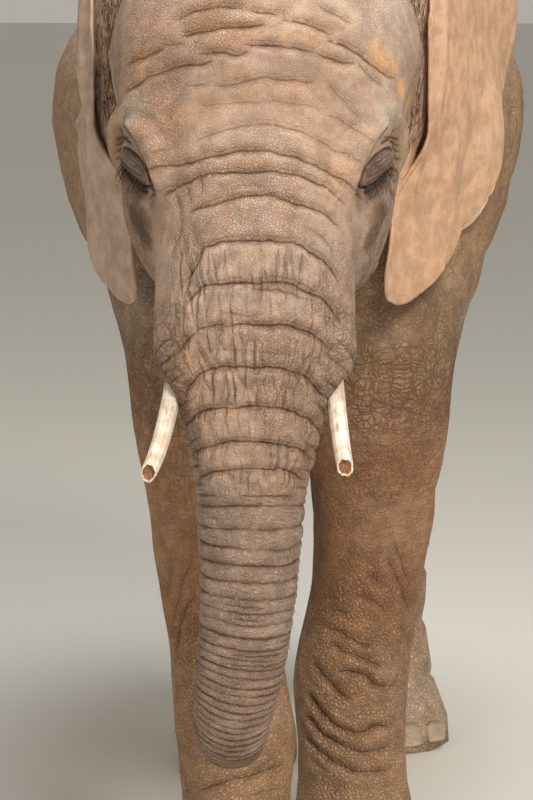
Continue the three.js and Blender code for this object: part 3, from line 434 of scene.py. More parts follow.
def along_trunk(places):
    """For points of the animal: run down the trunk, angle from its front, and distance from its
    centreline as a share of its half size there. Points far from it get a share of 9."""
    run, angle, share = np.zeros(len(places)), np.zeros(len(places)), np.full(len(places), 9.0)
    near = np.flatnonzero((places[:, 1] < -400) & (places[:, 2] > 400)
                          & (np.abs(places[:, 0] - HEAD_SHIFT) < 340))
    for part in np.array_split(near, max(1, len(near) // 20000)):
        p = places[part]
        gap = ((p[:, None, :] - LINE_AT[None]) ** 2).sum(axis=2)
        n = gap.argmin(axis=1)
        q = p - LINE_AT[n]
        u = (q * LINE_ACROSS[n]).sum(axis=1) / LINE_HALF[n, 0]
        v = (q * LINE_FRONT[n]).sum(axis=1) / LINE_HALF[n, 1]
        run[part] = LINE_RUN[n] + (q * LINE_ALONG[n]).sum(axis=1)
        angle[part] = np.arctan2(u, v)
        share[part] = np.hypot(u, v)
    return run, angle, share


# %% Smooth limbs and barrel most, face and mouth least
SMOOTHING_ROUNDS = 46
places = to_animal(points_of(skin))
pairs = edges_of(skin)
run, angle, share = along_trunk(places)
x, y, z = places.T
on_trunk = step(1.5, 1.2, share) * step(1330, 1230, z)
face = step(-300, -420, y) * step(1080, 1150, z)
amount = 0.5 * (1 - face) + 0.16 * face
amount = amount * (1 - on_trunk) + 0.42 * on_trunk
tip = step(LINE_RUN[-1] - 90, LINE_RUN[-1] - 40, run) * (share < 1.8)
amount = np.where(tip > 0, amount * (1 - tip) + 0.06 * tip, amount)
amount *= 1 - 0.75 * step(150, 60, z)
mouth = step(140, 60, np.linalg.norm((places - [HEAD_SHIFT, -640, 1200]) / [1.1, 1, 1], axis=1))
amount *= 1 - 0.6 * mouth
places = smoothed(places, pairs, amount, SMOOTHING_ROUNDS)
move_points(skin, to_frame(places))
print("smoothed in", SMOOTHING_ROUNDS, "rounds")

# %% [markdown]
# Creases on the face, the trunk and the front of the forelegs show from close by, so the quads
# there are cut in four, and those round the eyes in four again.

# %% Finer quads in front
def subdivide_where(piece, wanted):
    """Cuts each face in four where all its corners are wanted."""
    mesh = piece.data
    corners = np.empty(len(mesh.loops), np.int32)
    mesh.loops.foreach_get("vertex_index", corners)
    starts = np.empty(len(mesh.polygons), np.int32)
    mesh.polygons.foreach_get("loop_start", starts)
    chosen = np.minimum.reduceat(wanted[corners].astype(int), starts).astype(bool)
    only(piece)
    bpy.ops.object.mode_set(mode="EDIT")
    bpy.ops.mesh.select_all(action="DESELECT")
    bpy.ops.object.mode_set(mode="OBJECT")
    mesh.vertices.foreach_set("select", np.zeros(len(mesh.vertices), bool))
    mesh.edges.foreach_set("select", np.zeros(len(mesh.edges), bool))
    mesh.polygons.foreach_set("select", chosen)
    bpy.ops.object.mode_set(mode="EDIT")
    bpy.ops.mesh.select_mode(type="FACE")
    bpy.ops.mesh.subdivide(number_cuts=1, smoothness=0)
    bpy.ops.mesh.select_mode(type="VERT")
    bpy.ops.object.mode_set(mode="OBJECT")
    return int(chosen.sum())


def from_eye(places):
    return np.minimum(*(np.linalg.norm(places - EYE_AT[side], axis=1) for side in (1, -1)))


normals = normals_of(skin)
run, angle, share = along_trunk(places)
front = (y < -560) & (z > 1150) & (normals[:, 1] < 0.35)
trunk_skin = (share < 1.6) & (z < 1330)
wrists = (z > 235) & (z < 800) & (y < 150) & (normals[:, 1] < 0.3)
cut = subdivide_where(skin, front | trunk_skin | wrists | (from_eye(places) < 134))
places = to_animal(points_of(skin))
cut_again = subdivide_where(skin, from_eye(places) < 98)
places = to_animal(points_of(skin))
pairs = edges_of(skin)
places = smoothed(places, pairs, np.full(len(places), 0.5), 3)
move_points(skin, to_frame(places))
print("faces cut:", cut, "and", cut_again, "- vertices now:", len(places))

# %% [markdown]
# ## The lie of the creases
# An elephant's skin is creased where it bends. Arcs cross the forehead, rings go round the trunk
# and close up towards its tip, and thick folds sag over each wrist. The large creases of the face
# and the wrists are lines laid on the skin, each with its strength. The rings of the trunk are
# worked out along its centreline. Every point then knows its distance to the nearest crease, on
# which side it lies and how deep the crease is there. The same three numbers press the skin in
# and later tell the material where the dark line runs.

# %% Lines of the large creases: strength, then points as seen from the front, across and up in mm
FACE_CREASES = [
    (0.8, [(-208, 1903), (-179, 1920), (-146, 1932), (-113, 1936), (-72, 1931)]),
    (0.9, [(-67, 1927), (-35, 1924), (6, 1920)]),
    (0.6, [(58, 1938), (86, 1922), (115, 1905), (131, 1899)]),
    (0.9, [(-197, 1878), (-165, 1883), (-124, 1892), (-87, 1894), (-55, 1898), (-31, 1904)]),
    (0.9, [(-6, 1911), (18, 1906), (50, 1898), (74, 1889), (95, 1883)]),
    (0.7, [(-233, 1866), (-211, 1861), (-182, 1864)]),
    (0.8, [(-305, 1817), (-276, 1832), (-246, 1844), (-220, 1856)]),
    (1, [(-75, 1865), (-42, 1864), (-6, 1862), (26, 1857), (59, 1850)]),
    (0.9, [(-161, 1844), (-136, 1849), (-107, 1848), (-83, 1846), (-58, 1851)]),
    (0.8, [(-306, 1761), (-279, 1783), (-254, 1801), (-224, 1812), (-194, 1820), (-169, 1825), (-144, 1830),
          (-132, 1835)]),
    (1, [(57, 1847), (83, 1838), (111, 1829), (136, 1822)]),
    (0.8, [(79, 1873), (107, 1864), (131, 1850), (156, 1830), (185, 1810), (218, 1789)]),
    (0.5, [(135, 1837), (148, 1818), (172, 1793), (189, 1780)]),
    (0.5, [(-186, 1789), (-161, 1787), (-132, 1791)]),
    (0.6, [(-132, 1788), (-99, 1791), (-66, 1797), (-30, 1803), (6, 1798), (39, 1794), (63, 1796)]),
    (0.4, [(79, 1796), (103, 1768), (132, 1739), (165, 1705)]),
    (0.35, [(-156, 1748), (-107, 1753), (-58, 1757), (-2, 1758), (35, 1752), (75, 1739)]),
    (0.45, [(83, 1736), (116, 1715), (148, 1689), (169, 1670)]),
    (0.55, [(-164, 1683), (-139, 1696), (-102, 1710), (-66, 1716), (-29, 1719), (7, 1710), (39, 1701),
          (75, 1681), (108, 1658), (144, 1630)]),
    (0.3, [(-268, 1674), (-248, 1692), (-219, 1706)]),
    (0.4, [(-251, 1642), (-227, 1660), (-197, 1671)]),
    (0.8, [(-246, 1618), (-219, 1631), (-176, 1645), (-138, 1657), (-101, 1667), (-65, 1672), (-29, 1672),
          (3, 1664), (40, 1653), (72, 1637), (104, 1615), (128, 1588)]),
    (0.9, [(-227, 1577), (-209, 1593), (-183, 1609), (-167, 1616), (-138, 1627), (-105, 1633), (-64, 1635),
          (-24, 1634), (16, 1630), (44, 1623), (72, 1608), (100, 1587), (120, 1563)]),
    (0.4, [(-88, 1604), (-68, 1611), (-40, 1609), (0, 1605)]),
    (0.9, [(-174, 1557), (-145, 1569), (-120, 1576), (-88, 1584), (-56, 1591), (-24, 1592), (4, 1586),
          (32, 1574), (60, 1563), (88, 1548), (112, 1525)]),
    (0.5, [(-198, 1595), (-194, 1572), (-185, 1550)]),
    (0.5, [(-175, 1606), (-172, 1586), (-168, 1563)]),
    (0.5, [(-155, 1638), (-151, 1607), (-149, 1580)]),
    (0.4, [(-138, 1651), (-136, 1627)]),
    (0.4, [(82, 1593), (86, 1569)]),
    (0.4, [(102, 1583), (104, 1559)]),
    (0.5, [(-185, 1546), (-191, 1514), (-203, 1481)]),
    (0.4, [(-170, 1547), (-157, 1509), (-148, 1490)]),
    (0.5, [(40, 1534), (60, 1525), (84, 1503), (97, 1474)]),
    (1, [(-181, 1429), (-169, 1450), (-157, 1467), (-146, 1489), (-140, 1497), (-116, 1505), (-76, 1510),
          (-27, 1510), (16, 1507), (44, 1499), (60, 1487), (80, 1469), (96, 1447), (108, 1422)]),
    (1, [(-177, 1387), (-160, 1408), (-148, 1423), (-123, 1430), (-91, 1432), (-59, 1435), (-35, 1436),
          (1, 1434), (29, 1427), (53, 1415), (77, 1399), (97, 1377), (113, 1351)]),
    (0.5, [(-75, 1427), (-43, 1425), (-11, 1423), (17, 1415), (45, 1405), (69, 1398)]),
    (0.9, [(-193, 1297), (-185, 1310), (-168, 1331), (-147, 1347), (-115, 1357), (-90, 1362)]),
    (1, [(-107, 1350), (-82, 1359), (-54, 1358), (-26, 1357), (5, 1356), (33, 1351), (57, 1339), (81, 1319),
          (101, 1292)]),
    (0.4, [(-115, 1375), (-99, 1381), (-74, 1379), (-50, 1375), (-19, 1383)]),
    (1, [(-186, 1214), (-173, 1237), (-160, 1255), (-139, 1270), (-107, 1278), (-74, 1282), (-50, 1280),
          (-18, 1280), (13, 1274), (37, 1264), (57, 1247), (69, 1229), (81, 1206)]),
    (0.3, [(-143, 1306), (-107, 1314), (-58, 1309), (-10, 1307), (25, 1307)]),
    (1, [(-174, 1165), (-161, 1182), (-140, 1196), (-107, 1204), (-58, 1206), (-18, 1204), (17, 1196),
          (45, 1180), (65, 1157)]),
    (1, [(-168, 1103), (-158, 1116), (-132, 1130), (-103, 1136), (-59, 1139), (-19, 1136), (17, 1127),
          (41, 1115), (57, 1095)]),
    (1, [(-163, 1051), (-150, 1067), (-124, 1080), (-87, 1086), (-43, 1087), (1, 1083), (29, 1072),
          (48, 1054)]),
]
LEFT_WRIST_CREASES = [
    (0.8, [(61, 588), (96, 587), (124, 569), (152, 558), (179, 550)]),
    (0.8, [(78, 559), (106, 545), (138, 534), (170, 519), (194, 501)]),
    (1, [(97, 492), (129, 497), (157, 488), (175, 472), (198, 457), (226, 459)]),
    (0.8, [(41, 511), (59, 491), (83, 467), (106, 444), (134, 435)]),
    (1, [(34, 443), (45, 421), (69, 395), (92, 372), (125, 360), (157, 358), (185, 366), (218, 364)]),
    (0.9, [(31, 391), (45, 371), (73, 345), (106, 328), (143, 315), (181, 314), (213, 319)]),
    (0.9, [(31, 341), (45, 321), (78, 296), (116, 278), (157, 268), (199, 267), (228, 275)]),
    (0.5, [(36, 297), (55, 279), (83, 268)]),
    (0.6, [(201, 752), (220, 714), (239, 665), (251, 617)]),
    (0.6, [(215, 784), (238, 732), (253, 678)]),
    (0.5, [(156, 727), (183, 696), (197, 676)]),
    (0.6, [(128, 671), (161, 660), (188, 642), (202, 621)]),
    (0.5, [(73, 630), (105, 630), (124, 617)]),
    (0.5, [(230, 601), (250, 552), (255, 507)]),
]
RIGHT_WRIST_CREASES = [
    (0.7, [(-235, 582), (-230, 630), (-215, 674), (-188, 717)]),
    (0.5, [(-244, 607), (-239, 655), (-220, 723), (-198, 795)]),
    (0.4, [(-254, 692), (-239, 764)]),
    (0.8, [(-191, 311), (-154, 323), (-114, 341), (-74, 347), (-43, 355), (-8, 363)]),
    (0.6, [(-78, 354), (-52, 366), (-26, 383)]),
    (0.5, [(-215, 313), (-205, 295)]),
    (0.4, [(-114, 305), (-52, 311), (-8, 309)]),
]

# %% The lines, sampled every few millimetres
def on_skin(points, tree, ahead):
    """Places on the skin straight behind points seen from the front, from `ahead` backwards."""
    met = []
    for x, z in points:
        start = Vector(to_frame(np.array([[x, ahead, z]], float))[0])
        hit = tree.ray_cast(start, Vector((0, 1, 0)))[0] or tree.find_nearest(start)[0]
        met.append(hit)
    return to_animal(np.array(met, float))


def sampled(creases, tree, ahead):
    """Centres, tangents, normals and strengths of points along smooth lines."""
    centres, alongs, outs, strengths = [], [], [], []
    for number, (strength, points) in enumerate(creases):
        rows = on_skin(points, tree, ahead)
        length = np.linalg.norm(np.diff(rows, axis=0), axis=1).sum()
        t = np.linspace(0, len(rows) - 1, max(6, int(length / 3)))
        path = between(rows, t)
        drift = noise(path, 22, 40 + number)[:, None] * 3.4
        tangent = unit(np.gradient(path, axis=0))
        out = np.array([list(tree.find_nearest(Vector(p))[1]) for p in to_frame(path)])
        path = path + np.cross(tangent, out) * drift
        share = t / (len(rows) - 1)
        taper = np.minimum(1, np.minimum(share, 1 - share) * length / 26) ** 0.7
        centres.append(path)
        alongs.append(tangent)
        outs.append(out)
        strengths.append(strength * taper * (0.85 + 0.25 * noise(path, 30, 70 + number)))
    return [np.concatenate(rows) for rows in (centres, alongs, outs, strengths)]


def to_lines(places, lines, reach, near):
    """Signed distance to the nearest line and its strength there, for the points `near` it."""
    centres, alongs, outs, strengths = lines
    tree = KDTree(len(centres))
    for n, centre in enumerate(centres):
        tree.insert(centre, n)
    tree.balance()
    gap, depth = np.full(len(places), 99.0), np.zeros(len(places))
    for i in np.flatnonzero(near):
        _, n, distance = tree.find(places[i])
        if distance < reach:
            q = places[i] - centres[n]
            side = np.dot(q, np.cross(alongs[n], outs[n]))
            if abs(np.dot(q, alongs[n])) < 6:
                gap[i] = math.copysign(math.sqrt(max(distance ** 2 - np.dot(q, outs[n]) ** 2, 0)), side)
                depth[i] = strengths[n]
    return gap, depth


# %% [markdown]
# Rings go all the way round from under the tusks, where they lie 40 mm apart, to the tip, where
# they lie 11 mm apart. Above the tusks they only cross the sides. They hang lower at the sides of
# the trunk than at its front, most of all where it is broad. Each one fades and comes back on its
# way round, and shorter ones lie in between.

# %% Rings of the trunk
RING_START = float(np.interp(-1042, -LINE_AT[:, 2][:150], LINE_RUN[:150]))
RING_GAPS = ((0, 40), (60, 34), (190, 30), (260, 20), (330, 16), (460, 12.5), (1200, 10.5))
dice = np.random.default_rng(11)
rings = [RING_START - 320]
while rings[-1] < LINE_RUN[-1] + 20:
    apart = np.interp(rings[-1] - RING_START, *zip(*RING_GAPS)) if rings[-1] > RING_START else 46
    rings.append(rings[-1] + apart * dice.uniform(0.82, 1.2))
rings = np.array(rings)


def to_rings(run, angle):
    """Signed distance to the nearest ring, the gap between rings there, and the ring's depth."""
    droop = np.interp(run, [RING_START - 320, RING_START - 180, RING_START, RING_START + 90],
                      [130, 70, 20, 0])
    bent = np.minimum(1 - np.cos(angle), 1.2)
    swing = np.stack([np.cos(angle) * 90, np.sin(angle) * 90, run * 0.9], axis=1)
    level = run - droop * bent + noise(swing, 60, 3) * np.interp(run - RING_START, [0, 300, 700], [5, 4, 1.6])
    k = np.clip(np.searchsorted(rings, level), 1, len(rings) - 1)
    lower = level - rings[k - 1] > rings[k] - level
    n = np.where(lower, k, k - 1)
    apart = rings[k] - rings[k - 1]
    turned = np.stack([np.cos(angle) * 90, np.sin(angle) * 90, n * 61.0], axis=1)
    depth = np.clip(0.72 + 0.55 * noise(turned, 55, 5), 0.12, 1)
    # A shorter ring halfway between two, on part of the way round
    middle = (rings[k] + rings[k - 1]) / 2
    turned[:, 2] = k * 47.0 + 13
    short = np.clip(1.5 * noise(turned, 50, 8) - 0.1, 0, 0.8) * step(13, 18, apart)
    offset = level - rings[n]
    closer = (np.abs(level - middle) < np.abs(offset)) & (short > 0.05)
    gap = np.where(closer, level - middle, offset)
    return gap, apart * np.where(short > 0.05, 0.5, 1), np.where(closer, short, depth)


# %% How deep the skin is pressed in, and what the material needs to know
# Depth and half width of the creases, in mm, and the height of the rims beside them
WRIST_DEPTH, FACE_DEPTH = 12.0, 8.5
WRIST_WIDTH, FACE_WIDTH = 10.0, 7.0
RIM_HEIGHT = 3.0
# Depth of the loose folds
FLANK_FOLD, LEG_FOLD = 13.0, 9.0
line_tree = tree_of(skin)
FACE_LINES = sampled(FACE_CREASES, line_tree, -1300)
LEG_LINES = sampled(LEFT_WRIST_CREASES + RIGHT_WRIST_CREASES, line_tree, -440)


def creased(places, normals):
    """Height over the smooth form, signed distance to the nearest crease, its depth, and the
    strength of the finer lines beside it."""
    run, angle, share = along_trunk(places)
    x, y, z = places.T
    front = normals[:, 1] < 0.5
    face_gap, face_depth = to_lines(places, FACE_LINES, 30, front & (y < -540) & (z > 960))
    leg_gap, leg_depth = to_lines(places, LEG_LINES, 30, front & (y > -480) & (y < 170) & (z < 950))
    gap = np.where(leg_depth > 0, leg_gap, face_gap)
    depth = np.maximum(leg_depth, face_depth)
    wide = np.where(leg_depth > 0, WRIST_WIDTH, FACE_WIDTH)
    deep = np.where(leg_depth > 0, WRIST_DEPTH, FACE_DEPTH)
    height = -depth * deep * np.exp(-(np.abs(gap) / wide) ** 1.2)
    height += depth * RIM_HEIGHT * np.exp(-((np.abs(gap) - 2.6 * wide) / (1.3 * wide)) ** 2)
    # Rings: all the way round below the tusks, only at the sides and behind above them
    ring_gap, apart, ring_depth = to_rings(run, angle)
    low = step(RING_START - 14, RING_START + 4, run)
    at_sides = step(0.7, 1.2, np.abs(angle)) * step(RING_START - 300, RING_START - 220, run)
    around = step(1.5, 1.25, share) * np.maximum(low, at_sides) * step(1.6, 1.5, share)
    ring_depth = ring_depth * around
    t = np.clip(2 * np.abs(ring_gap) / apart, 0, 1)
    bulge = np.minimum(0.12 * apart, 4.4) * (1 - (1 - t) ** 2.4)
    ring_height = (bulge - np.minimum(0.07 * apart, 2.2)) * around
    groove = np.exp(-(np.abs(ring_gap) / np.minimum(0.16 * apart, 5)) ** 1.5)
    ring_height -= ring_depth * np.minimum(0.115 * apart, 4.2) * groove
    ring_pull = ring_depth * np.exp(-np.abs(ring_gap) / 8)
    use_ring = (ring_depth > 0.02) & (depth * np.exp(-np.abs(gap) / 8) < ring_pull)
    gap = np.where(use_ring, ring_gap, gap)
    depth = np.where(use_ring, ring_depth, depth)
    height += ring_height
    # The line fades away from its crease, so that it never jumps from one crease to the next
    close_by = np.where(use_ring, 0, depth) * np.exp(-(gap / 13) ** 2)
    depth = depth * np.exp(-(gap / np.where(use_ring, 0.34 * apart, 8.0)) ** 2)
    # Low swells, so that no part is as even as a turned form
    height += noise(places, 150, 21) * 3.5 + noise(places, 55, 22) * 1.2 * (1 - 0.5 * low)
    # Upright folds across the bands of the upper trunk
    upper = step(RING_START + 60, RING_START - 80, run) * step(1540, 1480, z)
    band = upper * step(1.5, 1.25, share) * step(1.2, 0.9, np.abs(angle))
    swing = np.stack([x + noise(places, 70, 31) * 14, y * 0, z * 0.35], axis=1)
    fold = np.abs(noise(swing, 21, 33))
    height += band * (np.minimum(fold, 0.3) - 0.2) * 17.0
    # Loose skin: upright folds on the flanks and level ones on the legs, 60 to 90 mm apart
    behind = step(-380, -200, y)
    swing = np.stack([x * 0.5, y, z * 0.4], axis=1)
    flank = behind * step(760, 940, z) * step(1760, 1560, z)
    flank *= 0.35 + 0.65 * step(-0.2, 0.5, noise(places, 260, 61))
    height -= FLANK_FOLD * flank * np.exp(-(noise(swing, 92, 62) / 0.24) ** 2)
    swing = np.stack([x * 0.4, y * 0.4, z], axis=1)
    loose = np.maximum(step(150, 320, y), 0.8 * step(0.3, 0.7, normals[:, 1]))
    baggy = step(1060, 900, z) * step(90, 160, z) * loose * (y > -330)
    height -= LEG_FOLD * baggy * np.exp(-(noise(swing, 66, 63) / 0.26) ** 2)
    return height, gap, depth, close_by


places = to_animal(points_of(skin))
normals = normals_of(skin)
height, gap, depth, _ = creased(places, normals)
height *= step(20, 60, places[:, 2])
move_points(skin, to_frame(places + normals * height[:, None]))
print("creases pressed in, from", round(height.min(), 1), "to", round(height.max(), 1), "mm;",
      len(rings), "rings on the trunk")

# %% [markdown]
# ## Eyelids
# The eye is small, set low at the side of the head, and nearly shut. The upper lid is a wrinkled
# dome over the ball, under a deep slanting fold of the brow, and the lower lid sags in short
# folds. The skin's points there are moved in the eye's own frame: along the slit, across it and
# outwards. Inside the slit they go behind the eyeball, which is a piece of its own.

# %% Frame of each eye
def eye_axes(side):
    look = np.array([side * 0.7, -0.65, -0.26])
    look /= np.linalg.norm(look)
    level = np.array([side * 0.65, 0.7, 0.0])
    level /= np.linalg.norm(level)
    along = level - look * level.dot(look)
    along /= np.linalg.norm(along)
    along = np.array(Matrix.Rotation(side * 0.35, 3, Vector(look)) @ Vector(along))
    up = np.cross(along, look) * side
    return along, (up if up[2] > 0 else -up), look


def eye_frame(places, side):
    """Points as millimetres along the slit of the eye, across it and outwards."""
    along, up, look = eye_axes(side)
    q = places - EYE_AT[side]
    return q @ along, q @ up, q @ look


# %% Lines round the eye, in millimetres along and across its slit
SLIT_LINE = [(-84, 10), (-75, 3), (-62, -5), (-46, -10), (-24, -12), (0, -12.5), (22, -12.5), (38, -10),
             (47, -5)]
LID_TOP = [(-84, 12), (-75, 17), (-55, 32), (-34, 39), (-8, 38), (20, 34), (36, 24), (45, 8), (47, -3)]
SLIT = {"half": 18.0, "open": 2.4}
# Creases: strength, width, then points
EYE_CREASES = [
    (1.0, 3.4, [(50, 86), (41, 76), (18, 73), (-6, 68), (-34, 53), (-55, 41), (-75, 20), (-87, -4)]),
    (0.9, 2.8, LID_TOP),
    (1.0, 2.6, SLIT_LINE),
    (0.7, 2.4, [(66, 50), (50, 48), (35, 51), (14, 60)]),
    (1.0, 2.2, [(74, 22), (60, 32), (45, 43), (23, 50), (2, 51)]),
    (0.9, 2.0, [(74, 10), (60, 20), (48, 32), (32, 42)]),
    (0.8, 2.0, [(72, -3), (60, 7), (53, 17), (47, 26)]),
    (0.7, 2.4, [(72, -20), (60, -11), (52, 0)]),
    (0.8, 1.8, [(-64, 4), (-42, -2), (-12, -5), (16, -5), (38, 2)]),
    (0.6, 1.8, [(-56, 14), (-34, 8), (-6, 3), (18, 3), (38, 10)]),
    (0.5, 2.0, [(-36, 30), (-18, 16), (-14, 8)]),
    (0.5, 2.0, [(12, 32), (9, 20), (12, 10)]),
    (0.55, 1.5, [(-62, 24), (-40, 27), (-16, 26), (8, 26), (30, 20)]),
    (0.45, 1.4, [(-66, 20), (-44, 20), (-20, 19), (4, 18), (34, 15)]),
    (0.5, 1.4, [(-52, 33), (-30, 34), (-8, 33), (16, 30), (34, 22)]),
    (0.7, 2.6, [(-66, -14), (-46, -25), (-18, -30), (12, -28), (36, -20)]),
    (0.5, 2.6, [(-50, -38), (-22, -43), (8, -41)]),
    (1.0, 3.0, [(-76, 8), (-84, -8), (-90, -26), (-97, -44)]),
    (0.6, 2.4, [(-84, -8), (-74, -24), (-68, -42)]),
]


def traced(points):
    rows = np.array(points, float)
    return between(rows, np.linspace(0, len(rows) - 1, 14 * len(rows)))


def eye_lines(a, u):
    """Signed distance to the nearest crease, its strength, and the height that all of them give."""
    gap, depth, height = np.full(len(a), 99.0), np.zeros(len(a)), np.zeros(len(a))
    for strength, width, points in EYE_CREASES:
        path = traced(points)
        way = np.gradient(path, axis=0)
        q = np.stack([a, u], axis=1)[:, None] - path[None]
        n = np.argmin((q ** 2).sum(axis=2), axis=1)
        q = q[np.arange(len(a)), n]
        distance = np.hypot(q[:, 0], q[:, 1])
        share = n / (len(path) - 1)
        strong = strength * np.minimum(1, np.minimum(share, 1 - share) * 7 + 0.15)
        height -= strong * width * 1.15 * np.exp(-(distance / width) ** 2)
        height += strong * width * 0.45 * np.exp(-((distance - 2.3 * width) / (1.3 * width)) ** 2)
        nearer = distance < np.abs(gap)
        turned = np.where(way[n, 0] * q[:, 1] > way[n, 1] * q[:, 0], 1, -1)
        gap = np.where(nearer, turned * distance, gap)
        depth = np.where(nearer, strong, depth)
    return gap, depth, height


def lid_share(a, u):
    """0 at the slit, 1 at the upper edge of the upper lid, and the level of the slit."""
    level = np.interp(a, *zip(*SLIT_LINE))
    top = np.interp(a, *zip(*LID_TOP))
    return (u - level) / np.maximum(top - level, 4), level


# %% Shape the lids
def lidded(places, side):
    look = eye_axes(side)[2]
    a, u, o = eye_frame(places, side)
    reach = np.hypot(np.where(a > 0, a / 64, a / 88), (u - 22) / 62)
    near = (reach < 1.6) & (o > -75) & (o < 75)
    a, u, o, reach = a[near], u[near], o[near], reach[near]
    # The skin is drawn to a flatter, more forward face than the side of the head has
    hold = step(1.5, 0.85, reach)
    h = o + (24 - 0.25 * a - 0.42 * np.maximum(a - 34, 0) - o) * hold
    lines = step(1.3, 1.0, reach)
    share, level = lid_share(a, u)
    within = (a > -80) & (a < 46)
    cushion = 6.5 * np.sqrt(np.clip(4 * share * (1 - share), 0, 1)) * within
    cushion += 3.5 * np.exp(-((a - 25) / 14) ** 2 - ((u - 19) / 10) ** 2)
    cushion += 4.5 * np.exp(-((a + 6) / 16) ** 2 - ((u - 22) / 11) ** 2)
    # The upper lid hangs over the lower one
    under = step(-66, -44, a) * step(48, 34, a) * (u < level)
    cushion -= 12 * np.exp(-(level - u) / 13) * under
    # The brow stands proud over its groove
    brow = np.interp(a, [-84, -75, -55, -34, -6, 18, 41, 60], [2, 18, 40, 53, 68, 73, 76, 80])
    cushion += 5 * (1 - np.exp(-np.maximum(u - brow, 0) / 4)) * np.exp(-np.maximum(u - brow, 0) / 40)
    h = h + (cushion + eye_lines(a, u)[2]) * lines
    h = np.maximum(h, np.sqrt(np.maximum((EYE_RADIUS + 4) ** 2 - a ** 2 - u ** 2, 0)))
    gape = SLIT["open"] * np.sqrt(np.clip(1 - (a / SLIT["half"]) ** 2, 0, 1))
    ball = np.sqrt(np.maximum(EYE_RADIUS ** 2 - a ** 2 - u ** 2, 0))
    inside = step(gape + 1.2, gape - 0.6, np.abs(u - level)) * (np.abs(a) < SLIT["half"])
    h = h * (1 - inside) + np.minimum(h, ball - 5) * inside
    moved = places.copy()
    moved[near] += look * (h - o)[:, None]
    return moved, near, inside


places = to_animal(points_of(skin))
for side in (1, -1):
    places, near, inside = lidded(places, side)
    print("lid points:", int(near.sum()), "in the slit:", int((inside > 0.5).sum()))
move_points(skin, to_frame(places))

# %% [markdown]
# ## Fewer faces where the skin is smooth
# The finished skin has to stay under 200,000 triangles. The Decimate modifier joins the points
# whose loss changes the form least. A vertex group holds it back on the face, and most of all
# round the eyes.

# %% Thin out the skin
def grouped(piece, name, values):
    group = piece.vertex_groups.new(name=name)
    levels = np.round(np.clip(values, 0, 1) * 10) / 10
    for level in np.unique(levels):
        group.add(np.flatnonzero(levels == level).tolist(), float(level), "REPLACE")
    return group


SKIN_TRIANGLES = 146000
places = to_animal(points_of(skin))
eye_near = from_eye(places)
legs_and_neck = step(200, 0, places[:, 1]) * (normals_of(skin)[:, 1] < 0.3)
wrist = (places[:, 2] > 235) * (places[:, 2] < 800) * (places[:, 1] < 150) * (normals_of(skin)[:, 1] < 0.3)
kept = 1 - 0.3 * wrist - 0.6 * step(112, 84, eye_near)
kept -= 0.25 * step(-500, -620, places[:, 1])
kept -= 0.15 * legs_and_neck
grouped(skin, "spare", kept)
triangle_count = sum(len(p.vertices) - 2 for p in skin.data.polygons)
modified(skin, "DECIMATE", ratio=SKIN_TRIANGLES / triangle_count, vertex_group="spare",
         vertex_group_factor=0.25, use_collapse_triangulate=True)
skin.vertex_groups.clear()
places = to_animal(points_of(skin))
print("skin thinned from", triangle_count, "to", len(skin.data.polygons), "triangles;",
      int((from_eye(places) < 60).sum()), "points round the eyes,",
      int((places[:, 1] < -560).sum()), "in front")

# %% [markdown]
# ## Ears
# An ear is a broad, thin sheet of skin and gristle that is stiff at its root and loose at its
# rear edge. It lies back along the neck and over the shoulder. The rear edge is worn into
# scallops, with a few short tears. A flat grid is rounded into a disc, the disc is drawn out to
# the ear's outline, and the sheet is laid over the body, clear of it. Solidify gives it its
# thickness, 21 mm in the middle and 4.5 mm at the edge.

# %% Outline and lie of the ears
EAR_OUTLINE = np.array([
    [-352, 1590], [-386, 1450], [-360, 1346], [-295, 1325], [-208, 1378], [-102, 1452],
    [8, 1538], [115, 1645], [205, 1770], [240, 1900], [170, 2020], [0, 2080], [-170, 2085],
    [-300, 2030], [-368, 1900], [-365, 1740]], float)
EAR_CENTRE = np.array([-170.0, 1750.0])
EAR_THICK = (21.0, 4.5)
EAR_ROOM = 5
EARS = {"ear_left": (1, 198, 4), "ear_right": (-1, 103, -55)}
# Tears of the rear edge: place as [y, z], depth, width
TEARS = ((78, 1606, 20, 8), (-28, 1512, 17, 6), (-112, 1447, 9, 5), (-196, 1385, 7, 6), (150, 1690, 8, 9),
         (236, 1860, 11, 7), (-338, 1334, 5, 8))
skin_tree = tree_of(skin)


def ear_edge(turn):
    rows = np.vstack([EAR_OUTLINE[-1:], EAR_OUTLINE, EAR_OUTLINE[:2]])
    return between(rows, 1 + (turn % 1) * len(EAR_OUTLINE))


def clear_of_skin(point, side, room):
    """Moves a point outwards until it is `room` millimetres off the skin."""
    for _ in range(110):
        at, normal, _, distance = skin_tree.find_nearest(Vector(to_frame(point)))
        outside = (Vector(to_frame(point)) - at).dot(normal) > 0
        if outside and distance * 1000 >= room:
            break
        lacking = room - distance * 1000 if outside else room + distance * 1000
        point = point + np.array([side * max(1.0, 0.7 * lacking), 0, 0])
    return point


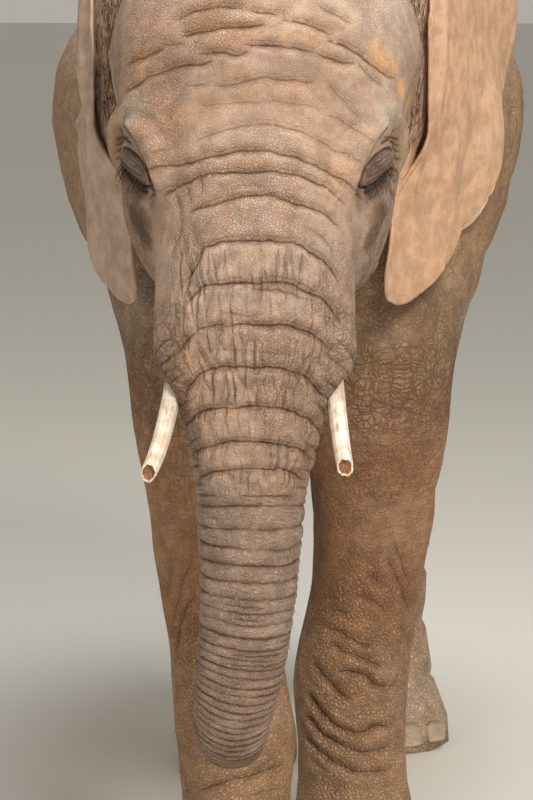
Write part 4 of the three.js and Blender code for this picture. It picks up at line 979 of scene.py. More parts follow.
def ear_places(disc, side, flare, lift):
    """Points of the ear's middle surface for points of a unit disc."""
    radius = np.minimum(np.hypot(disc[:, 0], disc[:, 1]), 1)
    turn = np.arctan2(disc[:, 1], disc[:, 0]) / (2 * math.pi)
    share = 0.55 * radius + 0.45 * np.sin(radius * math.pi / 2)
    edge = ear_edge(turn)
    worn = 2.6 * noise(np.column_stack([edge, edge[:, 0] * 0 + side * 40]), 17, 91)
    worn += 1.6 * noise(np.column_stack([edge, edge[:, 0] * 0 + side * 40]), 7, 92) + 2.2
    worn *= step(-380, -250, edge[:, 0])
    for y, z, depth, width in TEARS:
        worn += depth * np.exp(-(np.hypot(edge[:, 0] - y, edge[:, 1] - z) / width) ** 2)
    reach = np.linalg.norm(edge - EAR_CENTRE, axis=1)
    pull = share * (1 - worn / reach * share ** 14)
    y, z = (EAR_CENTRE + (edge - EAR_CENTRE) * pull[:, None]).T
    behind = np.clip((y + 370) / 640, 0, 1)
    low = np.clip((1640 - z) / 330, 0, 1)
    high = np.clip((z - 1480) / 350, 0, 1)
    wave = 7 * np.sin(z / 62 + y / 95) * behind
    base = 268 + 64 * np.maximum(step(1530, 1690, z), np.clip((y + 350) / 150, 0, 1)) - 22 * low
    out = base + (flare + lift * high) * behind + wave
    out -= 4 * np.exp(-((y + 290) / 60) ** 2 - ((z - 1640) / 95) ** 2)
    rim = share ** 10
    out += rim * 5 * noise(np.column_stack([y, z, y * 0 + side * 90]), 48, 93)
    places = np.column_stack([side * out + HEAD_SHIFT, y, z])
    for i in np.flatnonzero(y > -330):
        places[i] = clear_of_skin(places[i], side, EAR_THICK[0] / 2 + EAR_ROOM)
    return places, share


def laid_softly(sheet, places, side):
    """Eases the sheet's distance from the body, never back towards it by more than 4 mm."""
    pairs = edges_of(sheet)
    least = side * places[:, :1] - 4
    out = side * places[:, :1]
    for _ in range(14):
        out = np.maximum(eased(out, pairs, np.full(len(out), 0.5), 1), least)
    out = smoothed(out, pairs, np.full(len(out), 0.5), 6)
    return np.column_stack([side * out, places[:, 1:]])


# %% Make both ears and join them to the skin
ear_points = {}
for name, (side, flare, lift) in EARS.items():
    bpy.ops.object.select_all(action="DESELECT")
    bpy.ops.mesh.primitive_grid_add(x_subdivisions=76, y_subdivisions=76, size=2)
    sheet = bpy.context.object
    square = points_of(sheet)
    disc = np.column_stack([square[:, 0] * np.sqrt(1 - square[:, 1] ** 2 / 2),
                            square[:, 1] * np.sqrt(1 - square[:, 0] ** 2 / 2)])
    laid, share = ear_places(disc, side, flare, lift)
    laid = laid_softly(sheet, laid, side)
    ear_points[side] = laid
    move_points(sheet, to_frame(laid))
    thin = (EAR_THICK[1] + (EAR_THICK[0] - EAR_THICK[1]) * (1 - share ** 1.5)) / EAR_THICK[0]
    grouped(sheet, "thick", thin * step(1.04, 0.985, share))
    faced_out(sheet)
    modified(sheet, "SOLIDIFY", thickness=EAR_THICK[0] / 1000, offset=0.0, vertex_group="thick",
             thickness_vertex_group=0.12, use_even_offset=False)
    faced_out(sheet)
    before = len(skin.data.vertices)
    modified(skin, "BOOLEAN", operation="UNION", object=sheet, solver="MANIFOLD")
    # The quick solver leaves a mesh as it is where it isn't closed, and the slow one then joins it
    if len(skin.data.vertices) < before + 3000:
        modified(skin, "BOOLEAN", operation="UNION", object=sheet, solver="EXACT")
    print(name, "adds", len(skin.data.vertices) - before, "points to the skin")
    bpy.data.objects.remove(sheet)
modified(skin, "TRIANGULATE")
only(skin)
bpy.ops.object.shade_smooth()
print("skin with ears:", len(skin.data.polygons), "triangles")

# %% [markdown]
# ## What the hide's material needs to know
# Dried mud, dust and wear give the hide most of its colours, region by region: tan on the face,
# rust brown on the legs, sandy on the ears, grey where the skin is rubbed clean. Some colours are
# painted light and shade: darker under the ears, below the eyes and at the end of the trunk, and
# paler on the roots of the ears and on the hind feet. They are worked out for each point of the
# skin and kept as a colour. Other notes say where the skin is pebbled, cracked or streaked, and
# how far a point is from the nearest crease.

# %% Colours of the hide
# Some hues also stand for light and shade: the darkest brown is partly painted shade, the near-black by the
# eyelids is painted shadow with the lashes' colour, and the pale hues of the ear roots and the hind feet are
# partly painted light
HUES = {"tan": "#B19A88", "pale": "#BCB0A2", "slate": "#9C9894", "ochre": "#DDB07B", "mauve": "#A6968C",
        "rust": "#B08B6E", "cheek": "#6A4E38", "lid": "#76675E", "leg": "#AC8665", "shin": "#C6A685",
        "sand": "#CBA78A", "body": "#B29473", "mud_and_shade": "#4F4134", "recess": "#D4B59B", "dust_and_painted_light": "#DDCAB4",
        "brow": "#A3907F", "olive": "#8B7250", "lashes_and_shade": "#2B211C", "under": "#7C675A"}
# Patches: centre, radius, hue, strength
PATCHES = [
    (-285, -684, 1748, 38, "pale", 0.75), (-295, -677, 1713, 24, "slate", 0.55),
    (198, -676, 1725, 36, "pale", 0.75), (181, -688, 1766, 30, "pale", 0.4),
    (223, -626, 1775, 19, "ochre", 1.0), (235, -478, 1733, 22, "ochre", 1.0),
    (192, -658, 1830, 26, "ochre", 0.6), (169, -674, 1849, 24, "ochre", 0.45),
    (208, -644, 1810, 18, "ochre", 0.6), (-275, -658, 1824, 22, "ochre", 0.35),
    (-39, -770, 1830, 42, "mauve", 0.5), (32, -761, 1835, 36, "mauve", 0.45),
    (-198, -717, 1851, 24, "mauve", 0.6), (-147, -726, 1908, 48, "rust", 0.5),
    (-80, -756, 1881, 36, "rust", 0.35), (87, -730, 1871, 60, "rust", 0.2),
    (-165, -745, 1800, 30, "mauve", 0.35), (-145, -764, 1751, 34, "rust", 0.45),
    (-203, -741, 1722, 34, "rust", 0.35), (-61, -775, 1784, 40, "rust", 0.3),
    (-33, -779, 1762, 26, "mauve", 0.35), (-7, -845, 1609, 30, "mauve", 0.35),
    (-31, -870, 1556, 26, "slate", 0.35), (-77, -871, 1554, 14, "slate", 0.35),
    (-79, -915, 1403, 26, "slate", 0.3), (35, -899, 1380, 18, "slate", 0.35),
    (88, -781, 1613, 40, "ochre", 0.2),
    # The dark cheek patches below the eyes are partly painted shade; on the animal's right side (x < 0) they
    # and the darkest patch among them are painted shadow below the eye
    (172, -687, 1643, 22, "ochre", 0.3), (-277, -677, 1537, 34, "cheek", 0.9),
    (-260, -677, 1489, 30, "cheek", 0.9), (-290, -621, 1579, 20, "cheek", 0.8),
    (-262, -690, 1520, 44, "mud_and_shade", 0.6), (182, -666, 1537, 34, "cheek", 0.75),
    (167, -660, 1489, 30, "cheek", 0.8),
    (198, -604, 1579, 20, "cheek", 0.5), (-228, -829, 1289, 18, "slate", 0.7),
    (130, -819, 1285, 18, "slate", 0.7), (-208, -847, 1235, 22, "mauve", 0.4),
    (-238, -430, 1740, 24, "ochre", 0.2), (236, -478, 1700, 20, "ochre", 0.8),
]


def towards(colour, hue, amount):
    return colour + (np.array(linear(HUES[hue])[:3]) - colour) * np.clip(amount, 0, 1)[:, None]


ear_tree = KDTree(sum(len(laid) for laid in ear_points.values()))
for n, point in enumerate(np.vstack(list(ear_points.values()))):
    ear_tree.insert(point, n)
ear_tree.balance()


def regions(places):
    """Where the ears, legs, trunk and roots of the ears are, each from 0 to 1, and the place of
    each point along the trunk."""
    _, y, z = places.T
    run, angle, share = along_trunk(places)
    ear = np.zeros(len(places))
    for i in np.flatnonzero((y > -400) & (y < 260) & (z > 1300)):
        ear[i] = ear_tree.find(places[i])[2]
    ear = np.where((y > -400) & (y < 260) & (z > 1300), step(22, 16, ear), 0)
    trunk = step(1.5, 1.25, share) * step(RING_START - 60, RING_START + 20, run)
    front = step(-470, -560, y) * step(900, 1000, z)
    trunk_all = np.maximum(trunk, front)
    leg = step(1260, 1080, z) * (1 - trunk_all) * (1 - ear) * (y < 1900)
    root = step(-455, -420, y) * step(-262, -300, y) * step(1330, 1420, z) * (1 - ear)
    return {"ear": ear, "trunk": trunk, "leg": leg, "root": root, "run": run, "angle": angle, "share": share}


def coloured(places, normals, where):
    x, y, z = places.T
    colour = np.tile(linear(HUES["tan"])[:3], (len(places), 1))
    body = step(-440, -300, y) * (1 - where["ear"])
    colour = towards(colour, "body", body)
    colour = towards(colour, "leg", where["leg"] * step(1260, 1060, z))
    colour = towards(colour, "shin", where["leg"] * step(700, 470, z) * 0.9)
    colour = towards(colour, "sand", where["ear"] * np.where(x > 0, 1.0, 0.55))
    colour = towards(colour, "mauve", where["ear"] * np.where(x > 0, 0.0, 0.55))
    # The roots of the ears lie in the ears' shade; their pale colour is painted light that offsets it
    colour = towards(colour, "recess", where["root"] * 0.9)
    # The hind feet: pale dust, and partly painted light on feet that lie in shade
    colour = towards(colour, "dust_and_painted_light", 0.9 * (y > 500) * step(460, 180, z) * (1 - where["ear"]))
    # A darker band on the shoulders and the tops of the legs under the ears: painted shadow of the ears, with
    # some dirt
    colour = towards(colour, "mud_and_shade", 0.3 * step(960, 1160, z) * step(1420, 1300, z) * step(-440, -300, y)
                     * step(420, 200, y) * (1 - where["ear"]))
    # The trunk turns browner and darker towards its end: partly wet dirt, partly painted shade under its
    # curled tip
    run = where["run"] - RING_START
    colour = towards(colour, "mauve", where["trunk"] * 0.45)
    colour = towards(colour, "leg", where["trunk"] * step(420, 760, run) * 0.55)
    colour = towards(colour, "mud_and_shade", where["trunk"] * step(500, 690, run) * 0.95)
    # Broad stains, and dust that lies on what faces up
    broad, small = noise(places, 210, 51), noise(places, 74, 52)
    limbs = np.maximum(where["leg"], where["trunk"])
    colour = towards(colour, "rust", 0.34 * step(0.05, 0.8, broad) * (1 - 0.6 * limbs) * (1 - where["ear"]))
    colour = towards(colour, "mauve", 0.5 * step(0.05, 0.8, -broad) * (1 - 0.7 * where["leg"])
                     * (1 - where["ear"]))
    colour = towards(colour, "pale", 0.25 * step(0.1, 0.9, small) * (1 - where["leg"]))
    colour = towards(colour, "pale", 0.5 * step(0.25, 0.95, normals[:, 2]) * (1 - 0.5 * where["ear"]))
    for px, py, pz, radius, hue, strength in PATCHES:
        near = np.linalg.norm(places - [px, py, pz], axis=1)
        ragged = near + 9 * noise(places, 16, 53) + 5 * noise(places, 7, 54)
        colour = towards(colour, hue, strength * step(radius * 1.25, radius * 0.45, ragged))
    # Round each eye: the brow, the temple behind, the lid, and the darker wet skin under and before it.
    # The near-black under the slit and at the inner corner is painted shadow of the overhanging lid
    # and of the groove there, with the lashes' own colour
    for side in (1, -1):
        a, u, o = eye_frame(places, side)
        share, level = lid_share(a, u)
        close = (np.abs(o) < 70) & (a > -110) & (a < 90)
        rough = 5 * noise(places, 13, 58)
        colour = towards(colour, "brow", 0.7 * step(1.25, 0.8, np.hypot((a + 6) / 72, (u - 26) / 56)) * close)
        temple = step(46, 62, a) * step(96, 74, a) * step(-40, 0, u) * step(66, 48, u)
        colour = towards(colour, "olive", 0.6 * temple * close)
        lid = step(-0.08, 0.06, share) * step(1.12, 0.98, share) * step(-84, -72, a) * step(50, 42, a)
        colour = towards(colour, "lid", 0.85 * lid * close)
        crown = np.exp(-((a - 8) / 30) ** 2 - ((u - 22) / 14) ** 2)
        colour = towards(colour, "mauve", 0.5 * lid * close * crown)
        # Near-black under the slit: painted shadow of the upper lid, with the lashes' colour
        below = step(1.5, -1.5, u - level) * step(-30, -4, u - level + rough)
        below *= step(-62, -42, a + rough) * step(46, 30, a)
        colour = towards(colour, "lashes_and_shade", 0.9 * below * close)
        below = step(1, -3, u - level) * step(-60, -14, u - level + rough)
        below *= step(-80, -50, a) * step(66, 30, a)
        colour = towards(colour, "under", 0.6 * below * close)
        # Dark inner corner: painted shade in the groove there
        inner = np.exp(-((a + 82) / 9) ** 2) * step(-60, -36, u) * step(30, 10, u)
        colour = towards(colour, "lashes_and_shade", 0.5 * inner * close)
    return np.clip(colour, 0, 1)


# %% Notes on the skin's points
places = to_animal(points_of(skin))
normals = normals_of(skin)
where = regions(places)
height, gap, depth, close_by = creased(places, normals)
# Close to the eyes the creases of the lids count, where they are the stronger ones
for side in (1, -1):
    a, u, o = eye_frame(places, side)
    near = np.flatnonzero((np.abs(o) < 60) & (np.hypot(a / 100, (u - 22) / 74) < 1) & (places[:, 1] < -480))
    own_gap, own_depth, _ = eye_lines(a[near], u[near])
    own_depth = own_depth * np.exp(-(own_gap / 6) ** 2)
    use = own_depth > depth[near] * 0.6
    gap[near] = np.where(use, own_gap, gap[near])
    depth[near] = np.where(use, own_depth, depth[near])
x, y, z = places.T
tint = skin.data.attributes.new("tint", "FLOAT_COLOR", "POINT")
shown = np.column_stack([coloured(places, normals, where), np.ones(len(places))])
tint.data.foreach_set("color", np.ascontiguousarray(shown, np.float32).ravel())
# The trunk as if it hung straight, so that a pattern follows its bends
straight = skin.data.attributes.new("straightened", "FLOAT_VECTOR", "POINT")
half = np.interp(where["run"], LINE_RUN, LINE_HALF[:, 0])
around = np.column_stack([np.sin(where["angle"]), np.cos(where["angle"])]) * half[:, None]
unrolled = np.column_stack([around, where["run"]]) / 1000
straight.data.foreach_set("vector", np.ascontiguousarray(unrolled, np.float32).ravel())
not_ear = 1 - where["ear"]
note(skin, "fold", np.clip(gap, -60, 60))
note(skin, "fold_depth", np.clip(depth, 0, 1.2) * not_ear * (np.abs(gap) < 50))
note(skin, "fold_near", np.clip(close_by, 0, 1) * not_ear)
# Cells of a ringed trunk: all the way round below the tusks, and at the sides above them
turned, run = np.abs(where["angle"]), where["run"] - RING_START
upper = step(-380, -300, run) * step(10, -60, run) * step(1.5, 1.3, where["share"]) * (y < -560)
note(skin, "ringed", np.maximum(where["trunk"], 0.9 * upper * step(0.55, 0.95, turned)))
# Upright folds at the front of the upper trunk, in patches
patch = step(-0.5, 0.2, noise(np.column_stack([x * 0.6, y * 0, z]), 62, 59))
note(skin, "folded", step(-470, -380, run) * step(40, -30, run) * step(1.5, 1.3, where["share"]) * (y < -560)
     * step(1.15, 0.85, turned) * (0.5 + 0.5 * patch))
cheek = sum(step(150, 90, np.linalg.norm((places - [across, -560, 1500]) / [0.7, 1, 1.3], axis=1))
            for across in (190, -290))
note(skin, "streaked", np.clip(where["root"] + 0.8 * cheek * (1 - step(-700, -760, y)), 0, 1) * not_ear)
# Nets of wrinkles, weaker on the lower legs, where warts take over
thigh = 0.5 + 0.5 * step(700, 940, z)
note(skin, "cracked", np.clip(0.85 * where["leg"] * thigh + 0.85 * step(-440, -300, y) * step(1000, 1200, z)
                              + 0.5 * where["trunk"] + 0.7 * upper * step(0.6, 1.0, turned)
                              + 0.3 * (z < 1500) * (y < -500), 0, 1) * not_ear)
note(skin, "knobbly", np.clip(where["leg"] * step(900, 620, z), 0, 1))
note(skin, "pebbled", (0.55 + 0.45 * step(0.0, 0.5, noise(places, 120, 57))) * (1 - 0.65 * where["ear"]))
print("hide notes on", len(places), "points; ear skin", round(float(where["ear"].mean()), 3),
      "legs", round(float(where["leg"].mean()), 3), "trunk", round(float(where["trunk"].mean()), 3))

# %% [markdown]
# ## The hide's material: dry, dusty elephant skin
# It is a thick, dry hide under a film of dust. It hardly shines: its roughness is near 0.76. Close
# by it is made of rounded pebbles about 5 mm across, with dust on their tops and dirt between
# them. Legs, flanks and trunk are wrinkled into nets of 10 to 40 mm. The dark lines in the creases
# and in the nets, and the soft darkening round the creases, are painted shade. Each layer adds to
# the colour and to the bump's height, in millimetres.

# %% Material of the hide: sources
hide = material("dry_dusty_elephant_hide")
tree = hide.node_tree
noted = {name: node(tree, "Attribute", {"attribute_name": name}).outputs[output] for name, output in (
    ("tint", "Color"), ("straightened", "Vector"), ("fold", "Fac"), ("fold_depth", "Fac"),
    ("fold_near", "Fac"), ("ringed", "Fac"), ("folded", "Fac"), ("streaked", "Fac"),
    ("cracked", "Fac"), ("knobbly", "Fac"), ("pebbled", "Fac"))}
here = node(tree, "TexCoord").outputs["Object"]
# Points swayed by up to 4.5 mm, so that no row of cells is straight
sway = node(tree, "TexNoise", {"Scale": 45.0, "Detail": 2.0}, Vector=here).outputs["Color"]
sway = node(tree, "VectorMath", {"operation": "MULTIPLY_ADD", 1: (0.009,) * 3, 2: (-0.0045,) * 3}, i0=sway)
swayed = node(tree, "VectorMath", {"operation": "ADD"}, i0=here, i1=sway)
SMOOTH = {"interpolation_type": "SMOOTHSTEP"}
FADING = {**SMOOTH, "To Min": 1.0, "To Max": 0.0}
NET = {"feature": "DISTANCE_TO_EDGE", "Scale": 1.0}
TIMES = {"operation": "MULTIPLY"}
LARGER = {"operation": "MAXIMUM"}

# %% Material of the hide: pebbles, cracks, streaks and crease lines, each from 0 to 1
# Pebbles of 5 mm with soft dips between them
cells = node(tree, "TexVoronoi", {**NET, "Scale": 205.0}, Vector=swayed)
pebble = node(tree, "MapRange", {**SMOOTH, "From Max": 0.3}, Value=cells)
# The lower legs are knobbly, with warts of 7 to 9 mm
warts = node(tree, "TexVoronoi", {**NET, "Scale": 120.0}, Vector=swayed)
warts = node(tree, "MapRange", {**SMOOTH, "From Max": 0.36}, Value=warts)
wart_gaps = node(tree, "Math", {"operation": "SUBTRACT", 0: 1.0}, i1=warts)
warts = node(tree, "Math", TIMES, i0=warts, i1=noted["knobbly"])
wart_gaps = node(tree, "Math", TIMES, i0=wart_gaps, i1=noted["knobbly"])
grit = node(tree, "TexNoise", {"Scale": 420.0, "Detail": 3.0, "Roughness": 0.6}, Vector=here)
# Wrinkles of legs and flanks: a level net of 22 by 9 mm, and an upright one of 10 by 25 mm. Their
# lines fade and come back, so that neither is a net of closed cells.
bent = node(tree, "TexNoise", {"Scale": 24.0, "Detail": 1.0}, Vector=here).outputs["Color"]
bent_by = node(tree, "VectorMath", {"operation": "MULTIPLY_ADD", 1: (0.024,) * 3, 2: (-0.012,) * 3}, i0=bent)
bent = node(tree, "VectorMath", {"operation": "ADD"}, i0=swayed, i1=bent_by)
level = node(tree, "Mapping", {"Scale": (46.0, 46.0, 108.0)}, Vector=bent)
level = node(tree, "TexVoronoi", {**NET, "Randomness": 0.7}, Vector=level)
level = node(tree, "MapRange", {**FADING, "From Max": 0.26}, Value=level)
tall = node(tree, "Mapping", {"Scale": (100.0, 100.0, 40.0)}, Vector=bent)
tall = node(tree, "TexVoronoi", {**NET, "Randomness": 0.7}, Vector=tall)
tall = node(tree, "MapRange", {**FADING, "From Max": 0.26}, Value=tall)
patchy = node(tree, "TexNoise", {"Scale": 17.0, "Detail": 3.0, "Roughness": 0.6}, Vector=here)
level = node(tree, "Math", TIMES, i0=level, i1=node(
    tree, "MapRange", {**SMOOTH, "From Min": 0.36, "From Max": 0.6, "To Min": 0.3}, Value=patchy))
tall = node(tree, "Math", TIMES, i0=tall, i1=node(
    tree, "MapRange", {**FADING, "From Min": 0.42, "From Max": 0.64, "To Max": 0.35}, Value=patchy))
cracks = node(tree, "Math", LARGER, i0=level, i1=tall)
# Wider wrinkles, 40 by 26 mm, run through both nets
quilt = node(tree, "Mapping", {"Scale": (25.0, 25.0, 38.0)}, Vector=bent)
quilt = node(tree, "TexVoronoi", {**NET, "Randomness": 0.9}, Vector=quilt)
quilt = node(tree, "MapRange", {**FADING, "From Max": 0.17}, Value=quilt)
cracks = node(tree, "Math", LARGER, i0=cracks, i1=quilt)
cracks = node(tree, "Math", TIMES, i0=cracks, i1=noted["cracked"])
# Between the rings of the trunk the cells are wider than tall
flat = node(tree, "Mapping", {"Scale": (1.0, 1.0, 2.1)}, Vector=noted["straightened"])
bricks = node(tree, "TexVoronoi", {**NET, "Scale": 52.0}, Vector=flat)
bricks = node(tree, "MapRange", {**FADING, "From Max": 0.24, "To Min": 0.8}, Value=bricks)
bricks = node(tree, "Math", TIMES, i0=bricks, i1=noted["ringed"])
cracks = node(tree, "Math", LARGER, i0=cracks, i1=bricks)
# Upright folds 17 mm apart between the large creases of the upper trunk
folds = node(tree, "Mapping", {"Scale": (58.0, 58.0, 12.0)}, Vector=noted["straightened"])
folds = node(tree, "VectorMath", {"operation": "MULTIPLY_ADD", 1: (0.5,) * 3}, i0=sway, i2=folds)
folds = node(tree, "VectorMath", {"operation": "MULTIPLY_ADD", 1: (10.0,) * 3}, i0=bent_by, i2=folds)
folds = node(tree, "TexVoronoi", NET, Vector=folds)
dips = node(tree, "MapRange", {**FADING, "From Max": 0.34}, Value=folds)
dips = node(tree, "Math", TIMES, i0=dips, i1=noted["folded"])
folds = node(tree, "MapRange", {**FADING, "From Max": 0.16, "To Min": 0.8}, Value=folds)
folds = node(tree, "Math", TIMES, i0=folds, i1=noted["folded"])
folds = node(tree, "Math", TIMES, i0=folds, i1=node(
    tree, "MapRange", {**SMOOTH, "From Min": 0.36, "From Max": 0.58, "To Min": 0.15}, Value=patchy))
cracks = node(tree, "Math", LARGER, i0=cracks, i1=folds)
# Each crack is a wide soft dip with a thin dark line at its bottom; the line is painted shade
painted_crack_shade = node(tree, "Math", {"operation": "POWER", 1: 3.0}, i0=cracks)
# Fine upright wrinkles on the cheeks and round the roots of the ears
upright = node(tree, "Mapping", {"Scale": (1.0, 1.0, 0.16)}, Vector=swayed)
streak = node(tree, "TexNoise", {"Scale": 105.0, "Detail": 3.0, "Roughness": 0.55}, Vector=upright)
streak = node(tree, "Math", {"operation": "SUBTRACT", 1: 0.5}, i0=streak)
streak = node(tree, "Math", {"operation": "ABSOLUTE"}, i0=streak)
streak = node(tree, "MapRange", {**FADING, "From Max": 0.085}, Value=streak)
streak = node(tree, "Math", TIMES, i0=streak, i1=noted["streaked"])
# A crease is a thin dark line with ragged edges in a soft darkening; both are painted shade
wobble = node(tree, "TexNoise", {"Scale": 62.0, "Detail": 3.0, "Roughness": 0.6}, Vector=here)
wobble = node(tree, "MapRange", {"To Min": -4.2, "To Max": 4.2}, Value=wobble)
off = node(tree, "Math", {"operation": "ADD"}, i0=noted["fold"], i1=wobble)
off = node(tree, "Math", {"operation": "ABSOLUTE"}, i0=off)
crease = node(tree, "MapRange", {**FADING, "From Min": 0.4, "From Max": 2.6}, Value=off)
crease = node(tree, "Math", TIMES, i0=crease, i1=noted["fold_depth"])
# Painted shade: a soft darkening up to 11 mm from each crease
shade = node(tree, "MapRange", {**FADING, "From Min": 1.0, "From Max": 11.0}, Value=off)
shade = node(tree, "Math", TIMES, i0=shade, i1=noted["fold_depth"])
# A finer, broken line runs 8 mm to either side of each large crease; its dark colour is painted shade as well
beside = node(tree, "Math", {"operation": "SUBTRACT", 1: 8.0}, i0=off)
beside = node(tree, "Math", {"operation": "MULTIPLY_ADD", 1: 2.2}, i0=wobble, i2=beside)
beside = node(tree, "Math", {"operation": "ABSOLUTE"}, i0=beside)
beside = node(tree, "MapRange", {**FADING, "From Min": 0.3, "From Max": 1.8, "To Min": 0.55}, Value=beside)
beside = node(tree, "Math", TIMES, i0=beside, i1=noted["fold_near"])
crease = node(tree, "Math", LARGER, i0=crease, i1=beside)

# %% Material of the hide: colour
RGB = {"data_type": "RGBA"}
blotch = node(tree, "TexNoise", {"Scale": 26.0, "Detail": 5.0, "Roughness": 0.62}, Vector=here)
blotch = node(tree, "MapRange", {**SMOOTH, "From Min": 0.34, "From Max": 0.66, "To Min": 0.80,
                                 "To Max": 1.14}, Value=blotch)
colour = node(tree, "VectorMath", {"operation": "SCALE"}, i0=noted["tint"], Scale=blotch)
tops = node(tree, "Math", TIMES, i0=pebble, i1=noted["pebbled"])
gaps = node(tree, "Math", {"operation": "SUBTRACT"}, i0=noted["pebbled"], i1=tops)
dust = node(tree, "MapRange", {**SMOOTH, "From Min": 0.5, "From Max": 0.72, "To Max": 0.22}, Value=grit)
dust = node(tree, "Math", TIMES, i0=dust, i1=tops)
# Each layer of dirt, dust and painted shade, from the lowest to the topmost: where, how strong, and
# its colour. The crack lines, the soft shade round the creases and the crease lines are painted shade
for layer, strength, blend, hue in (
        (gaps, 0.62, "MULTIPLY", "#B8957B"), (wart_gaps, 0.5, "MULTIPLY", "#8F735E"),
        (dust, 1.0, "MIX", "#E3CDB4"), (painted_crack_shade, 0.6, "MULTIPLY", "#7C6250"),
        (streak, 0.65, "MULTIPLY", "#6E5545"), (shade, 0.6, "MULTIPLY", "#A98A74"),
        (crease, 0.88, "MIX", "#4A3224")):
    dirt_and_shade = node(tree, "Math", {**TIMES, 1: strength}, i0=layer)
    colour = node(tree, "Mix", {**RGB, "blend_type": blend, 7: linear(hue)}, i0=dirt_and_shade, i6=colour)

# %% Material of the hide: height in millimetres, and roughness
height = node(tree, "Math", {**TIMES, 1: 1.2}, i0=tops)
for layer, tall in ((warts, 2.4), (grit, 1.3), (cracks, -3.6), (streak, -1.8), (dips, -6.0), (crease, -1.8)):
    height = node(tree, "Math", {"operation": "MULTIPLY_ADD", 1: tall}, i0=layer, i2=height)
bump = node(tree, "Bump", {"Strength": 1.0, "Distance": 0.001}, Height=height)
# The blotches run from 0.80 to 1.14, so the roughness stays between 0.74 and 0.78
rough = node(tree, "MapRange", {"To Min": 0.92, "To Max": 0.74}, Value=blotch)
finished(tree, colour, rough, bump, {"Specular IOR Level": 0.28})
skin.data.materials.clear()
skin.data.materials.append(hide)
print("hide material:", len(tree.nodes), "nodes")

# %% [markdown]
# ## Tubes
# A tusk is a tube of changing width. A circle is extruded ring by ring in edit mode, and each
# ring is then laid where the tube's centreline needs it.

# %% A tube through rings of points
def tube(name, rings):
    rings = np.asarray(rings, float)
    count, sides = rings.shape[:2]
    bpy.ops.object.select_all(action="DESELECT")
    bpy.ops.mesh.primitive_circle_add(vertices=sides, radius=1, fill_type="NGON")
    piece = bpy.context.object
    piece.name = name
    bpy.ops.object.mode_set(mode="EDIT")
    bpy.ops.mesh.select_all(action="SELECT")
    for _ in range(count - 1):
        bpy.ops.mesh.extrude_region_move(TRANSFORM_OT_translate={"value": (0, 0, 1)})
    bpy.ops.object.mode_set(mode="OBJECT")
    plain = points_of(piece)
    level = np.clip(np.round(plain[:, 2]), 0, count - 1).astype(int)
    turn = np.round(np.arctan2(plain[:, 1], plain[:, 0]) / (2 * math.pi) * sides).astype(int) % sides
    move_points(piece, to_frame(rings[level, turn]))
    faced_out(piece)
    return piece


def rings_along(points, radii, angle):
    """Rings of points round a line, each with its own radius, at these angles."""
    along = unit(np.gradient(points, axis=0))
    across = unit(np.array([1.0, 0, 0]) - along * along[:, :1])
    front = np.cross(along, across)
    radii = radii[:, None]
    return (points[:, None] + across[:, None] * (radii * np.sin(angle))[..., None]
            + front[:, None] * (radii * np.cos(angle))[..., None])


# %% [markdown]
# ## Tusks
# The tusks are short and thin, as in a young animal, and both tips are broken off. Ivory grows
# in cones, so its surface has fine grooves along the tusk, cracks that follow them, and a brown
# stain where the core shows in the break. Each tusk leaves its hole in the flesh and bends
# forwards. The broken end is hollowed, with an uneven rim.

